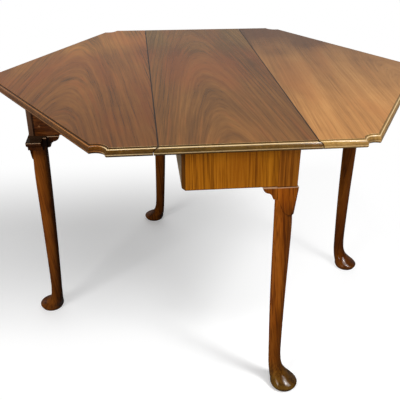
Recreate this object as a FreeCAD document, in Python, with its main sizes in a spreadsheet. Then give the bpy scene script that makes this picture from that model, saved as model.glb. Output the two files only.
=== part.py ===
"""Swing-leg drop-leaf table in mahogany, leaves up and both swing legs out, sizes in millimetres.

X runs across the leaves, Y along the joint lines and Z up. The origin is on the floor under the
middle of the top. The table looks the same after half a turn about Z, so each piece is drawn once
for the left half and placed again, turned, for the right half.
"""
import FreeCAD
import Part
import Sketcher
import math
import os
import re

from FreeCAD import Placement, Rotation, Vector

# Driving sizes: name, value, meaning
SIZES = (
    ("top_height", 720, "floor to the upper face of the top"),
    ("board_thickness", 18, "thickness of the top's three boards"),
    ("joint_half_width", 161, "middle of the top to a rule joint's line"),
    ("top_half_depth", 497, "middle of the top to its straight front edge"),
    ("corner_half_width", 287, "middle to the virtual corner of front edge and slanting edge"),
    ("point_half_length", 592, "middle to the virtual point where two slanting edges meet"),
    ("blank_margin", 4, "spare wood round a board before its edge is moulded"),
    ("cut_overrun", 6, "how far a cutter runs past the wood"),
    ("scoop_radius", 22, "radius of the scoop at each corner"),
    ("moulding_width", 9, "width of the moulding seen from above"),
    ("quirk_depth", 1.5, "step from the top down to the moulding"),
    ("ovolo_foot", 2, "distance of the ovolo's foot from the outer edge"),
    ("ovolo_depth", 7, "depth of the ledge under the ovolo"),
    ("ledge_inset", 0.8, "distance of the ledge's lip from the outer edge"),
    ("waist_depth", 12, "depth where the edge is widest"),
    ("skirt_depth", 15.5, "depth where the lower chamfer starts"),
    ("under_chamfer", 2.5, "width of the chamfer under the edge"),
    ("rule_radius", 10, "radius of the rule joint's round"),
    ("rule_fillet", 3, "straight step above the rule joint's round"),
    ("rule_gap", 0.8, "gap in the rule joint"),
    ("rail_height", 112, "height of the frame's rails"),
    ("side_overhang", 18, "how far a joint line stands past the side rails"),
    ("end_overhang", 59, "how far the straight edge of the top stands past the end rails"),
    ("end_rail_thickness", 22, "thickness of an end rail"),
    ("inner_rail_thickness", 20, "thickness of an inner side rail"),
    ("swing_rail_thickness", 30, "thickness of a fly rail and of the fixed rail behind it"),
    ("swing_gap", 2, "gap between a closed fly rail and the inner rail"),
    ("end_chamfer_width", 7, "width of the chamfer at the free end of an end rail"),
    ("end_chamfer_depth", 12, "depth of that chamfer"),
    ("leg_inset", 132.5, "distance of an open swing leg inside the virtual point of its leaf"),
    ("pivot_radius", 4, "radius of a pivot pin"),
    ("pivot_inset", 2, "how far a pivot pin stops short of the rail's edges"),
    ("running_clearance", 0.05, "radial clearance of a turning pin"),
    ("joint_clearance", 0.1, "clearance of a glued tenon, peg or screw"),
    ("knuckle_clearance", 0.6, "clearance round a knuckle"),
    ("finger_clearance", 0.4, "clearance above and below a knuckle's finger"),
    ("swing_top_clearance", 0.5, "gap between a fly rail and the leaf above"),
    ("shelf_clearance", 1, "gap between a swing leg's shoulder and the frame above"),
    ("tenon_thickness", 10, "thickness of a tenon"),
    ("tenon_length", 25, "length of a tenon"),
    ("tenon_shoulder", 10, "shoulder above and below a tenon"),
    ("lap_thickness", 10, "thickness of the fly rail's lap over its post"),
    ("lap_stop", 12, "width of post left bare beside the lap"),
    ("peg_radius", 3, "radius of a wooden peg"),
    ("peg_margin", 26, "distance of a peg from the rail's upper or lower edge"),
    ("leg_block", 45, "side of a leg's square block"),
    ("knee_proud", 3, "how far the knee stands out of the frame's faces"),
    ("ledge_drop", 2, "distance of the knee's ledge below the rails"),
    ("block_drop", 34, "distance of the block's lower end below the rails"),
    ("lappet_drop", 76, "distance of the lappet's tip below the rails"),
    ("knee_length", 82, "distance of the knee's lower end below the rails"),
    ("knee_half_width", 21.4, "half width of the knee's lower end"),
    ("knee_round", 15, "corner radius of the knee's lower end"),
    ("knee_edge_round", 2.5, "corner radius of the knee's upper end"),
    ("knee_shift", 1.5, "offset of the knee's lower end towards the toe, on each side"),
    ("tongue_reach", 28, "distance of the lappet's tip from the leg's axis"),
    ("tongue_width", 31, "run of the lappet's curve along the toe line"),
    ("shaft_top_drop", 26, "distance of the round shaft's upper end below the rails"),
    ("shaft_radius", 21.5, "radius of the leg under the knee"),
    ("ankle_radius", 15, "radius of the ankle"),
    ("ankle_height", 62, "height of the ankle"),
    ("ankle_offset", 13.6, "offset of the ankle towards the toe"),
    ("pad_radius", 35.5, "radius of the pad foot"),
    ("pad_offset", 47, "offset of the pad foot towards the toe"),
    ("pad_height", 11, "height of the pad's widest line"),
    ("pad_base_radius", 29.5, "radius of the pad's lower face"),
    ("ear_width", 33, "length of an ear along its rail"),
    ("ear_height", 32, "height of an ear"),
    ("ear_thickness", 38, "thickness of an ear"),
    ("corner_block", 30, "side of a glue block"),
    ("corner_block_trim", 14, "how much a glue block is shorter than the rails"),
    ("hinge_length", 40, "length of a hinge along the joint line"),
    ("hinge_end", 145, "distance of the outer hinges from the straight edge of the top"),
    ("hinge_plate", 2, "thickness of a hinge's plates"),
    ("hinge_short", 34, "reach of a hinge's short plate from the pin"),
    ("hinge_long", 50, "reach of a hinge's long plate from the pin"),
    ("hinge_setback", 6, "distance of a plate's edge from the pin"),
    ("hinge_barrel", 3.2, "radius of a hinge's barrel"),
    ("hinge_pin", 1.5, "radius of a hinge pin"),
    ("hinge_room", 0.9, "room round a hinge in the wood"),
    ("screw_radius", 1.6, "radius of a hinge screw"),
    ("screw_head", 3.2, "radius of a hinge screw's head"),
    ("screw_length", 11, "length of a hinge screw"),
    ("screw_point", 3, "length of a screw's point"),
    ("slot_width", 0.9, "width of a screw's slot"),
    ("slot_depth", 0.8, "depth of a screw's slot"),
    ("top_screw_radius", 2.2, "radius of a screw that holds the top"),
    ("top_screw_head", 4.2, "radius of that screw's head"),
    ("top_screw_cheese", 3, "height of that screw's head"),
    ("top_screw_bite", 11, "how far that screw goes into the top"),
    ("pocket_radius", 6.5, "radius of a screw pocket"),
    ("pocket_drop", 38, "distance of a pocket's ceiling below the top"),
    ("pocket_length", 34, "length of a screw pocket"),
    ("pocket_edge", 5, "distance of a screw's axis from the rail's inner face"),
    ("end_screw_end", 36, "distance of the screws in an end rail from the inner rails"),
    ("side_screw_end", 186, "distance of the screws in a side rail from the end rails"),
    ("rail_screw_radius", 2.2, "radius of a screw through the inner rail"),
    ("rail_screw_head", 4.4, "radius of that screw's head"),
    ("rail_screw_cone", 3, "height of that screw's head"),
    ("rail_screw_length", 38, "length of that screw"),
    ("rail_screw_margin", 30, "distance of that screw from the rail's edges"),
    ("rail_screw_start", 70, "distance of the first such screw from the pivot"),
    ("rail_screw_end", 57, "distance of the last such screw from the fixed leg"),
)

# The knuckles' fingers, counted from below
FINGER_COUNT = 5
FIXED_FINGERS = range(0, FINGER_COUNT, 2)
FLY_FINGERS = range(1, FINGER_COUNT, 2)

# Shaft stations: share of the height from ankle to top, of the ankle's offset, of the radius gained
SHAFT_SHARES = ((1.0, 0.0, 1.0), (0.87, 0.14, 0.97), (0.47, 0.56, 0.40), (0.0, 1.0, 0.0))

# Foot stations: share of the ankle's height, of the way to the pad's offset, of the radius gained
FOOT_SHARES = ((1.0, 0.0, 0.0), (0.68, 0.18, 0.13), (0.45, 0.52, 0.50), (0.29, 0.86, 0.85))

# Ear outline: shares of its width and height from the block's face and the rail's lower edge
EAR_SHARES = (
    (0.0, 0.0, 0.0),
    (1.0, 0.0, 0.0),
    (0.97, 0.10, 0.0),
    (0.55, 0.48, -0.09),
    (0.24, 0.94, 0.08),
    (0.06, 1.0, 0.0),
    (0.0, 1.0, 0.0),
)

# Hinge screw holes: shares of the plate's free width and of half the hinge's length
PLATE_HOLE_SHARES = ((0.30, -0.62), (0.30, 0.62), (0.74, 0.0))
STRAP_HOLE_SHARES = ((0.42, -0.62), (0.42, 0.62), (0.84, 0.0))

# Heights and distances that follow from the sizes
UNDERSIDE = "(top_height - board_thickness)"
RAIL_FOOT = "(top_height - board_thickness - rail_height)"
SHELF = "(top_height - board_thickness - rail_height - shelf_clearance)"
SWING_TOP = "(top_height - board_thickness - swing_top_clearance)"
BLOCK_FOOT = "(top_height - board_thickness - rail_height - block_drop)"
PIN_HEIGHT = "(top_height - rule_fillet - rule_radius)"
PIN_DEPTH = "(board_thickness - rule_fillet - rule_radius)"
COVE = "(rule_radius + rule_gap)"
LEAF_EDGE = "(joint_half_width + rule_gap)"
FRAME_WIDTH = "(joint_half_width - side_overhang)"
FRAME_DEPTH = "(top_half_depth - end_overhang)"
HALF_BLOCK = "(leg_block / 2)"
HALF_SWING = "(swing_rail_thickness / 2)"
INNER_FACE = f"({FRAME_WIDTH} - swing_rail_thickness - swing_gap)"
POST_FACE = f"({FRAME_WIDTH} - leg_block)"
POST_FRONT = f"({FRAME_DEPTH} - leg_block)"
END_FACE = f"({FRAME_DEPTH} - end_rail_thickness)"
PIVOT_ACROSS = f"({FRAME_WIDTH} - swing_rail_thickness / 2)"
LEG_ACROSS = f"({FRAME_WIDTH} - leg_block / 2)"
LEG_ALONG = f"({FRAME_DEPTH} - leg_block / 2)"
SWING_REACH = f"(point_half_length - leg_inset - {PIVOT_ACROSS})"
SWING_SHIFT = "(leg_block / 2 - swing_rail_thickness / 2)"
PIVOT_SETBACK = f"({LEG_ALONG} - {SWING_REACH})"
FLY_LENGTH = f"({SWING_REACH} - leg_block / 2)"
FIXED_LENGTH = f"({POST_FRONT} + {PIVOT_SETBACK})"
SLANT = "atan2(top_half_depth; point_half_length - corner_half_width)"
HINGE_SPREAD = "(top_half_depth - hinge_end)"
HALF_HINGE = "(hinge_length / 2)"
THIRD_HINGE = "(hinge_length / 6)"
POCKET_CEILING = "(top_height - board_thickness - pocket_drop)"

# Sides: name of the half and whether it is the turned one
LEFT = ("left", False)
RIGHT = ("right", True)

UP = Vector(0, 0, 1)

doc = FreeCAD.newDocument("table")
sheet = doc.addObject("Spreadsheet::Sheet", "Sizes")
for row, (alias, value, meaning) in enumerate(SIZES, start=1):
    sheet.set(f"A{row}", meaning)
    sheet.set(f"B{row}", str(value))
    sheet.setAlias(f"B{row}", alias)
doc.recompute()

parts = {}


def bound(text):
    """Give an expression with the sheet's name before each size's name."""
    return re.sub(r"\b([a-z]+(?:_[a-z]+)+)\b", r"Sizes.\1", text)


def num(text):
    """Give an expression's present value."""
    found = sheet.evalExpression(text)
    return float(getattr(found, "Value", found))


def new_body(label):
    """Give a new body that is a sub-part of its own."""
    body = doc.addObject("PartDesign::Body", label)
    body.Label = label
    parts[label] = body
    return body


def half_turn(side):
    """Give the rotation of a side: none for the left one, half a turn about Z for the right one."""
    return Rotation(UP, math.degrees(math.pi) if side[1] else 0)


def place(thing, side, across="0", along="0", height="0", turn=0):
    """Put a piece drawn for the left half at its place on the given side."""
    sign = "-1" if side[1] else "1"
    thing.Placement = Placement(Vector(), Rotation(UP, turn) * half_turn(side))
    thing.setExpression("Placement.Base.x", bound(f"{sign} * ({across})"))
    thing.setExpression("Placement.Base.y", bound(f"{sign} * ({along})"))
    thing.setExpression("Placement.Base.z", bound(height))


def sketch_on(body, plane, at=("0", "0", "0"), turn=None):
    """Give a sketch on one of the body's planes, moved to a point and turned about the upright."""
    across, along, height = at
    local = {
        "XY": (across, along, height),
        "XZ": (across, height, f"-({along})"),
        "YZ": (along, height, across),
    }[plane]
    upright = UP if plane == "XY" else Vector(0, 1, 0)
    sketch = body.newObject("Sketcher::SketchObject", "sketch")
    base = [feature for feature in body.Origin.OriginFeatures if feature.Role == plane + "_Plane"]
    sketch.AttachmentSupport = [(base[0], "")]
    sketch.MapMode = "FlatFace"
    sketch.AttachmentOffset = Placement(Vector(), Rotation(upright, num(turn) if turn else 0))
    for letter, text in zip("xyz", local):
        sketch.setExpression("AttachmentOffset.Base." + letter, bound(text))
    if turn:
        sketch.setExpression("AttachmentOffset.Rotation.Angle", bound(turn))
    return sketch


def tie(sketch, kind, geometry, point, text):
    """Hold one coordinate of a sketch's point to an expression."""
    index = sketch.addConstraint(Sketcher.Constraint(kind, -1, 1, geometry, point, num(text)))
    sketch.setExpression(f"Constraints[{index}]", bound(text))


def tie_radius(sketch, geometry, text):
    """Hold an arc's or circle's radius to an expression."""
    index = sketch.addConstraint(Sketcher.Constraint("Radius", geometry, num(text)))
    sketch.setExpression(f"Constraints[{index}]", bound(text))


def bow_centre(start, end, sag):
    """Give the centre of the arc that bows by sag to the right of the way from start to end."""
    middle = (start + end) * 0.5
    way = end - start
    right = Vector(way.y, -way.x, 0).normalize()
    radius = (way.Length ** 2 / 4 + sag ** 2) / (2 * sag)
    return middle + right * (sag - radius)


def draw(sketch, path):
    """Draw a closed outline. A corner is (x, y), with a third item where an arc leads to it.

    The third item is ("about", x, y, way) for an arc about a point, way being "ccw" or "cw",
    or ("bow", sag) for an arc that bows by sag to the right of the chord.
    """
    spots = [Vector(num(corner[0]), num(corner[1]), 0) for corner in path]
    ends = []
    for index, corner in enumerate(path):
        start, end = spots[index - 1], spots[index]
        if len(corner) == 2:
            geometry = sketch.addGeometry(Part.LineSegment(start, end))
            ends.append((geometry, 1, 2))
            continue
        if corner[2][0] == "about":
            centre = Vector(num(corner[2][1]), num(corner[2][2]), 0)
            forward = corner[2][3] == "ccw"
        else:
            sag = num(corner[2][1])
            centre = bow_centre(start, end, sag)
            forward = sag > 0
        first, last = (start, end) if forward else (end, start)
        circle = Part.Circle(centre, UP, (start - centre).Length)
        angles = [math.atan2(spot.y - centre.y, spot.x - centre.x) for spot in (first, last)]
        geometry = sketch.addGeometry(Part.ArcOfCircle(circle, angles[0], angles[1]))
        ends.append((geometry, 1, 2) if forward else (geometry, 2, 1))
    for index, (geometry, begin, end) in enumerate(ends):
        before, _, before_end = ends[index - 1]
        sketch.addConstraint(Sketcher.Constraint("Coincident", before, before_end, geometry, begin))
        tie(sketch, "DistanceX", geometry, end, path[index][0])
        tie(sketch, "DistanceY", geometry, end, path[index][1])
        if len(path[index]) == 3:
            tie_radius(sketch, geometry, arc_radius(path[index - 1], path[index]))


def arc_radius(before, corner):
    """Give the expression of an arc's radius."""
    kind = corner[2]
    if kind[0] == "about":
        return f"sqrt(({corner[0]} - ({kind[1]})) ^ 2 + ({corner[1]} - ({kind[2]})) ^ 2)"
    chord = f"(({corner[0]} - ({before[0]})) ^ 2 + ({corner[1]} - ({before[1]})) ^ 2)"
    return f"abs({chord} / 4 + ({kind[1]}) ^ 2) / (2 * abs({kind[1]}))"


def rectangle(sketch, low, high):
    """Draw a rectangle from its low and high corners."""
    draw(sketch, [(low[0], low[1]), (high[0], low[1]), (high[0], high[1]), (low[0], high[1])])


def circle(sketch, across, along, radius):
    """Draw a circle."""
    spot = Vector(num(across), num(along), 0)
    geometry = sketch.addGeometry(Part.Circle(spot, UP, num(radius)))
    tie(sketch, "DistanceX", geometry, 3, across)
    tie(sketch, "DistanceY", geometry, 3, along)
    tie_radius(sketch, geometry, radius)


def pad(body, sketch, length, reverse=False):
    """Add a sketch's outline to the body, along the sketch's normal."""
    feature = body.newObject("PartDesign::Pad", "pad")
    feature.Profile = sketch
    feature.setExpression("Length", bound(length))
    feature.Reversed = reverse


def pocket(body, sketch, length, reverse=False):
    """Cut a sketch's outline from the body, against the sketch's normal."""
    feature = body.newObject("PartDesign::Pocket", "pocket")
    feature.Profile = sketch
    feature.setExpression("Length", bound(length))
    feature.Reversed = reverse


def spin(body, sketch, kind):
    """Add or cut a sketch's outline turned about the sketch's upright axis."""
    feature = body.newObject("PartDesign::" + kind, kind.lower())
    feature.Profile = sketch
    feature.ReferenceAxis = (sketch, ["V_Axis"])
    feature.Angle = 360


def loft(body, sketches, ruled=False):
    """Add a skin over a row of sketches."""
    feature = body.newObject("PartDesign::AdditiveLoft", "loft")
    feature.Profile = sketches[0]
    feature.Sections = sketches[1:]
    feature.Ruled = ruled


def box_pad(body, low, high):
    """Add an upright block from its low and high corners."""
    sketch = sketch_on(body, "XY", ("0", "0", low[2]))
    rectangle(sketch, low, high)
    pad(body, sketch, f"({high[2]}) - ({low[2]})")


def box_pocket(body, low, high):
    """Cut an upright block from its low and high corners."""
    sketch = sketch_on(body, "XY", ("0", "0", high[2]))
    rectangle(sketch, low, high)
    pocket(body, sketch, f"({high[2]}) - ({low[2]})")


def holes_up(body, spots, radius, start, depth):
    """Drill round holes upwards from a height."""
    sketch = sketch_on(body, "XY", ("0", "0", start))
    for across, along in spots:
        circle(sketch, across, along, radius)
    pocket(body, sketch, depth, reverse=True)


# Boards of the top
def edge_profile(start, outside):
    """Give the outline of the wood taken off by the edge moulding, from the board's upper face."""
    rise = "(ovolo_depth - quirk_depth)"
    radius = f"(((moulding_width - ovolo_foot) ^ 2 + {rise} ^ 2) / (2 * {rise}))"
    below = "-(board_thickness + cut_overrun)"
    inner = f"{start} + moulding_width"
    return [
        (outside, "cut_overrun"),
        (inner, "cut_overrun"),
        (inner, "-quirk_depth"),
        (f"{start} + ovolo_foot", "-ovolo_depth", ("about", inner, f"-quirk_depth - {radius}", "ccw")),
        (f"{start} + ledge_inset", "-ovolo_depth"),
        (start, "-waist_depth"),
        (start, "-skirt_depth"),
        (f"{start} + under_chamfer", "-board_thickness"),
        (f"{start} + under_chamfer", below),
        (outside, below),
    ]


def mould_edge(body, corner, turn):
    """Cut the moulding along the edge that leaves a corner at the given turn."""
    shift = turn or "0 deg"
    across = f"{corner[0]} + cut_overrun * cos({shift})"
    along = f"{corner[1]} + cut_overrun * sin({shift})"
    sketch = sketch_on(body, "YZ", (across, along, "top_height"), turn)
    draw(sketch, edge_profile("0", "-(cut_overrun + 2 * blank_margin)"))
    pocket(body, sketch, "2 * point_half_length")


def mould_scoop(body, corner):
    """Cut the moulded scoop about a corner."""
    sketch = sketch_on(body, "XZ", (corner[0], corner[1], "top_height"))
    draw(sketch, edge_profile("scoop_radius", "0"))
    spin(body, sketch, "Groove")


def hinge_spots():
    """Give the places of one joint line's hinges along it."""
    return (f"-{HINGE_SPREAD}", "0", HINGE_SPREAD)


def hinge_holes(reach, shares, sign):
    """Give the places of a hinge plate's screws from the hinge pin."""
    return [
        (f"{sign} * (hinge_setback + ({reach} - hinge_setback) * {out})", f"{HALF_HINGE} * ({up})")
        for out, up in shares
    ]


def leaf(side):
    """Draw a leaf with its moulded edge, scooped corners, cove and hinge seats."""
    body = new_body(side[0] + "_leaf")
    depth = "(top_half_depth + blank_margin)"
    blank = sketch_on(body, "XY", ("0", "0", UNDERSIDE))
    draw(blank, [
        (f"-{LEAF_EDGE}", f"-{depth}"),
        (f"-{LEAF_EDGE}", depth),
        ("-(corner_half_width + blank_margin)", depth),
        ("-(point_half_length + 2 * blank_margin)", "0"),
        ("-(corner_half_width + blank_margin)", f"-{depth}"),
    ])
    pad(body, blank, "board_thickness")
    front = ("-corner_half_width", "-top_half_depth")
    point = ("-point_half_length", "0")
    back = ("-corner_half_width", "top_half_depth")
    mould_edge(body, (f"-{LEAF_EDGE}", "-top_half_depth"), None)
    mould_edge(body, front, f"-{SLANT}")
    mould_edge(body, point, f"{SLANT} - 180 deg")
    mould_edge(body, back, "180 deg")
    for corner in (front, point, back):
        mould_scoop(body, corner)
    cove = sketch_on(body, "XZ", ("0", f"-{depth} - cut_overrun", "0"))
    below = f"{UNDERSIDE} - cut_overrun"
    step = f"{PIN_HEIGHT} + sqrt({COVE} ^ 2 - rule_gap ^ 2)"
    draw(cove, [
        ("-joint_half_width + cut_overrun", step),
        (f"-{LEAF_EDGE}", step),
        (f"-(joint_half_width + {COVE})", PIN_HEIGHT, ("about", "-joint_half_width", PIN_HEIGHT, "ccw")),
        (f"-(joint_half_width + {COVE})", below),
        ("-joint_half_width + cut_overrun", below),
    ])
    pocket(body, cove, f"2 * ({depth} + cut_overrun)")
    seats = sketch_on(body, "XY", ("0", "0", UNDERSIDE))
    for along in hinge_spots():
        low = ("-(joint_half_width + hinge_long + hinge_room)", f"{along} - {HALF_HINGE} - hinge_room")
        high = ("-joint_half_width", f"{along} + {HALF_HINGE} + hinge_room")
        rectangle(seats, low, high)
    pocket(body, seats, "hinge_plate + joint_clearance", reverse=True)
    spots = [
        (f"-joint_half_width + {across}", f"{along} + {up}")
        for along in hinge_spots()
        for across, up in hinge_holes("hinge_long", STRAP_HOLE_SHARES, "-1")
    ]
    holes_up(body, spots, "screw_radius + joint_clearance", UNDERSIDE, "screw_length + joint_clearance")
    place(body, side)


def top_screw_spots():
    """Give the places of the screws that hold the top, for the left half."""
    across = f"({INNER_FACE} - inner_rail_thickness - end_screw_end)"
    end = f"-({END_FACE} + pocket_edge)"
    side = f"-({INNER_FACE} - inner_rail_thickness + pocket_edge)"
    return [
        (f"-{across}", end),
        (across, end),
        (side, f"-({END_FACE} - side_screw_end)"),
        (side, f"{END_FACE} - side_screw_end"),
    ]


def centre_top():
    """Draw the fixed board with its moulded ends, rule-joint rounds, hinge seats and screw holes."""
    body = new_body("centre_top")
    depth = "(top_half_depth + blank_margin)"
    reach = "(joint_half_width + rule_radius)"
    box_pad(body, (f"-{reach}", f"-{depth}", UNDERSIDE), (reach, depth, "top_height"))
    mould_edge(body, (reach, "-top_half_depth"), None)
    mould_edge(body, (f"-{reach}", "top_half_depth"), "180 deg")
    rounds = sketch_on(body, "XZ", ("0", f"-{depth} - cut_overrun", "0"))
    step = f"{PIN_HEIGHT} + rule_radius"
    for sign, way in (("-1", "ccw"), ("1", "cw")):
        line = f"{sign} * joint_half_width"
        edge = f"{sign} * {reach}"
        out = f"{sign} * ({reach} + cut_overrun)"
        heel = f"{sign} * (joint_half_width + sqrt(rule_radius ^ 2 - {PIN_DEPTH} ^ 2))"
        draw(rounds, [
            (out, "top_height + cut_overrun"),
            (line, "top_height + cut_overrun"),
            (line, step),
            (edge, PIN_HEIGHT, ("about", line, PIN_HEIGHT, way)),
            (heel, UNDERSIDE, ("about", line, PIN_HEIGHT, way)),
            (heel, f"{UNDERSIDE} - cut_overrun"),
            (out, f"{UNDERSIDE} - cut_overrun"),
        ])
    pocket(body, rounds, f"2 * ({depth} + cut_overrun)")
    plates = sketch_on(body, "XY", ("0", "0", UNDERSIDE))
    barrels = sketch_on(body, "XY", ("0", "0", UNDERSIDE))
    screws = []
    for sign in ("-1", "1"):
        for along in hinge_spots():
            low = f"{along} - {HALF_HINGE} - hinge_room"
            high = f"{along} + {HALF_HINGE} + hinge_room"
            inner = f"{sign} * (joint_half_width - hinge_short - hinge_room)"
            outer = f"{sign} * ({reach} + cut_overrun)"
            rectangle(plates, (inner, low), (outer, high))
            inner = f"{sign} * (joint_half_width - hinge_setback - hinge_room)"
            outer = f"{sign} * (joint_half_width + hinge_barrel + hinge_room)"
            rectangle(barrels, (inner, low), (outer, high))
            screws += [
                (f"{sign} * joint_half_width + {across}", f"{along} + {up}")
                for across, up in hinge_holes("hinge_short", PLATE_HOLE_SHARES, f"-1 * {sign}")
            ]
    pocket(body, plates, "hinge_plate + hinge_room", reverse=True)
    pocket(body, barrels, f"{PIN_DEPTH} + hinge_barrel + hinge_room", reverse=True)
    holes_up(body, screws, "screw_radius + joint_clearance", UNDERSIDE, "screw_length + joint_clearance")
    spots = [
        (f"{sign} * ({across})", f"{sign} * ({along})")
        for sign in ("1", "-1")
        for across, along in top_screw_spots()
    ]
    radius = "top_screw_radius + joint_clearance"
    holes_up(body, spots, radius, UNDERSIDE, "top_screw_bite + joint_clearance")


# Frame
def screw_pockets(body, spots):
    """Cut the pockets and holes for the screws that hold the top."""
    sketch = sketch_on(body, "XY", ("0", "0", POCKET_CEILING))
    for across, along in spots:
        circle(sketch, across, along, "pocket_radius")
    pocket(body, sketch, "pocket_length")
    holes_up(body, spots, "top_screw_radius + joint_clearance", POCKET_CEILING, "pocket_drop + cut_overrun")


def end_rail(side, label):
    """Draw the end rail that runs from one half's swing leg to the other half's fixed leg."""
    body = new_body(label)
    face = f"-{FRAME_DEPTH}"
    plan = sketch_on(body, "XY", ("0", "0", RAIL_FOOT))
    draw(plan, [
        (f"-{INNER_FACE}", f"{face} + end_chamfer_depth"),
        (f"-{INNER_FACE} + end_chamfer_width", face),
        (POST_FACE, face),
        (POST_FACE, f"-{END_FACE}"),
        (f"-{INNER_FACE}", f"-{END_FACE}"),
    ])
    pad(body, plan, "rail_height")
    middle = f"({face} + end_rail_thickness / 2)"
    box_pad(
        body,
        (f"{POST_FACE} - cut_overrun", f"{middle} - tenon_thickness / 2", f"{RAIL_FOOT} + tenon_shoulder"),
        (f"{POST_FACE} + tenon_length", f"{middle} + tenon_thickness / 2", f"{UNDERSIDE} - tenon_shoulder"),
    )
    screw_pockets(body, top_screw_spots()[:2])
    place(body, side)


def rail_screw_spots():
    """Give the places of the screws through an inner rail: distance past the pivot and height."""
    last = f"({FIXED_LENGTH} - rail_screw_end)"
    return [
        (f"-{PIVOT_SETBACK} + {along}", height)
        for along in ("rail_screw_start", f"(rail_screw_start + {last}) / 2", last)
        for height in (f"{RAIL_FOOT} + rail_screw_margin", f"{UNDERSIDE} - rail_screw_margin")
    ]


def inner_rail(side):
    """Draw the inner side rail behind the fly rail."""
    body = new_body(side[0] + "_inner_rail")
    inside = f"-({INNER_FACE} - inner_rail_thickness)"
    box_pad(body, (f"-{INNER_FACE}", f"-{END_FACE}", RAIL_FOOT), (inside, POST_FRONT, UNDERSIDE))
    screw_pockets(body, top_screw_spots()[2:])
    for along, height in rail_screw_spots():
        sketch = sketch_on(body, "XZ", ("0", along, height))
        screw_profile(sketch, inside, "joint_clearance")
        axis_spin(body, sketch, "Groove")
    place(body, side)


def screw_profile(sketch, head, room):
    """Draw half of a countersunk rail screw along the sketch's level axis, head at the given place."""
    draw(sketch, [
        (head, "0"),
        (head, f"rail_screw_head + {room}"),
        (f"{head} - rail_screw_cone", f"rail_screw_radius + {room}"),
        (f"{head} - rail_screw_length + screw_point", f"rail_screw_radius + {room}"),
        (f"{head} - rail_screw_length - {room}", "0"),
    ])


def axis_spin(body, sketch, kind):
    """Add or cut a sketch's outline turned about the sketch's level axis."""
    feature = body.newObject("PartDesign::" + kind, kind.lower())
    feature.Profile = sketch
    feature.ReferenceAxis = (sketch, ["H_Axis"])
    feature.Angle = 360


def knuckle(body, levels):
    """Add the rounded fingers about the pivot, which is the body's own origin."""
    reach = f"({HALF_SWING} + knuckle_clearance + cut_overrun)"
    for level in levels:
        low = f"{RAIL_FOOT} + rail_height * {level} / {FINGER_COUNT}"
        trim_low = "0" if level == 0 else "finger_clearance / 2"
        trim_high = "0" if level == FINGER_COUNT - 1 else "finger_clearance / 2"
        sketch = sketch_on(body, "XY", ("0", "0", f"{low} + {trim_low}"))
        draw(sketch, [
            (reach, f"-{HALF_SWING}"),
            (reach, HALF_SWING),
            ("0", HALF_SWING),
            (f"-{HALF_SWING}", "0", ("about", "0", "0", "ccw")),
            ("0", f"-{HALF_SWING}", ("about", "0", "0", "ccw")),
        ])
        pad(body, sketch, f"rail_height / {FINGER_COUNT} - {trim_low} - {trim_high}")


def pivot_bore(body, clearance):
    """Drill the pivot's bore through the knuckle."""
    holes_up(body, [("0", "0")], f"pivot_radius + {clearance}", SHELF, "rail_height + cut_overrun")


def fixed_rail(side):
    """Draw the fixed part of a side rail with its knuckle and tenon."""
    body = new_body(side[0] + "_fixed_rail")
    start = f"({HALF_SWING} + knuckle_clearance)"
    inner = f"-({HALF_SWING} + swing_gap)"
    box_pad(body, (start, inner, RAIL_FOOT), (FIXED_LENGTH, HALF_SWING, UNDERSIDE))
    knuckle(body, FIXED_FINGERS)
    box_pad(
        body,
        (f"{FIXED_LENGTH} - cut_overrun", "-tenon_thickness / 2", f"{RAIL_FOOT} + tenon_shoulder"),
        (f"{FIXED_LENGTH} + tenon_length", "tenon_thickness / 2", f"{UNDERSIDE} - tenon_shoulder"),
    )
    pivot_bore(body, "running_clearance / 2")
    head = f"-({HALF_SWING} + swing_gap + inner_rail_thickness)"
    for along, height in rail_screw_spots():
        sketch = sketch_on(body, "YZ", (f"{along} + {PIVOT_SETBACK}", "0", height))
        screw_profile_mirrored(sketch, head)
        axis_spin(body, sketch, "Groove")
    place(body, side, f"-{PIVOT_ACROSS}", f"-{PIVOT_SETBACK}", turn=90)


def screw_profile_mirrored(sketch, head):
    """Draw half of a rail screw's hole along the sketch's level axis, the screw going up the axis."""
    radius = "rail_screw_radius + joint_clearance"
    draw(sketch, [
        (f"{head} + rail_screw_cone", "0"),
        (f"{head} + rail_screw_cone", radius),
        (f"{head} + rail_screw_length - screw_point", radius),
        (f"{head} + rail_screw_length + joint_clearance", "0"),
    ])


def peg_spots():
    """Give the places of the pegs through a fly rail's lap: distance from the leg's axis, height."""
    across = f"({HALF_BLOCK} - (leg_block - lap_stop) / 2)"
    return [(across, f"{SHELF} + peg_margin"), (across, f"{SWING_TOP} - peg_margin")]


def fly_rail(side):
    """Draw the swinging rail with its knuckle and the lap over its leg's post."""
    body = new_body(side[0] + "_fly_rail")
    start = f"({HALF_SWING} + knuckle_clearance)"
    box_pad(body, (start, f"-{HALF_SWING}", SHELF), (FLY_LENGTH, HALF_SWING, SWING_TOP))
    knuckle(body, FLY_FINGERS)
    box_pad(
        body,
        (f"{FLY_LENGTH} - cut_overrun", f"{HALF_SWING} - lap_thickness", SHELF),
        (f"{FLY_LENGTH} + leg_block - lap_stop", HALF_SWING, SWING_TOP),
    )
    pivot_bore(body, "running_clearance")
    holes = sketch_on(body, "XZ", ("0", f"-{HALF_SWING}", "0"))
    for across, height in peg_spots():
        circle(holes, f"{SWING_REACH} - {across}", height, "peg_radius + joint_clearance")
    pocket(body, holes, "swing_rail_thickness + cut_overrun")
    place(body, side, f"-{PIVOT_ACROSS}", f"-{PIVOT_SETBACK}", turn=180)


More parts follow.
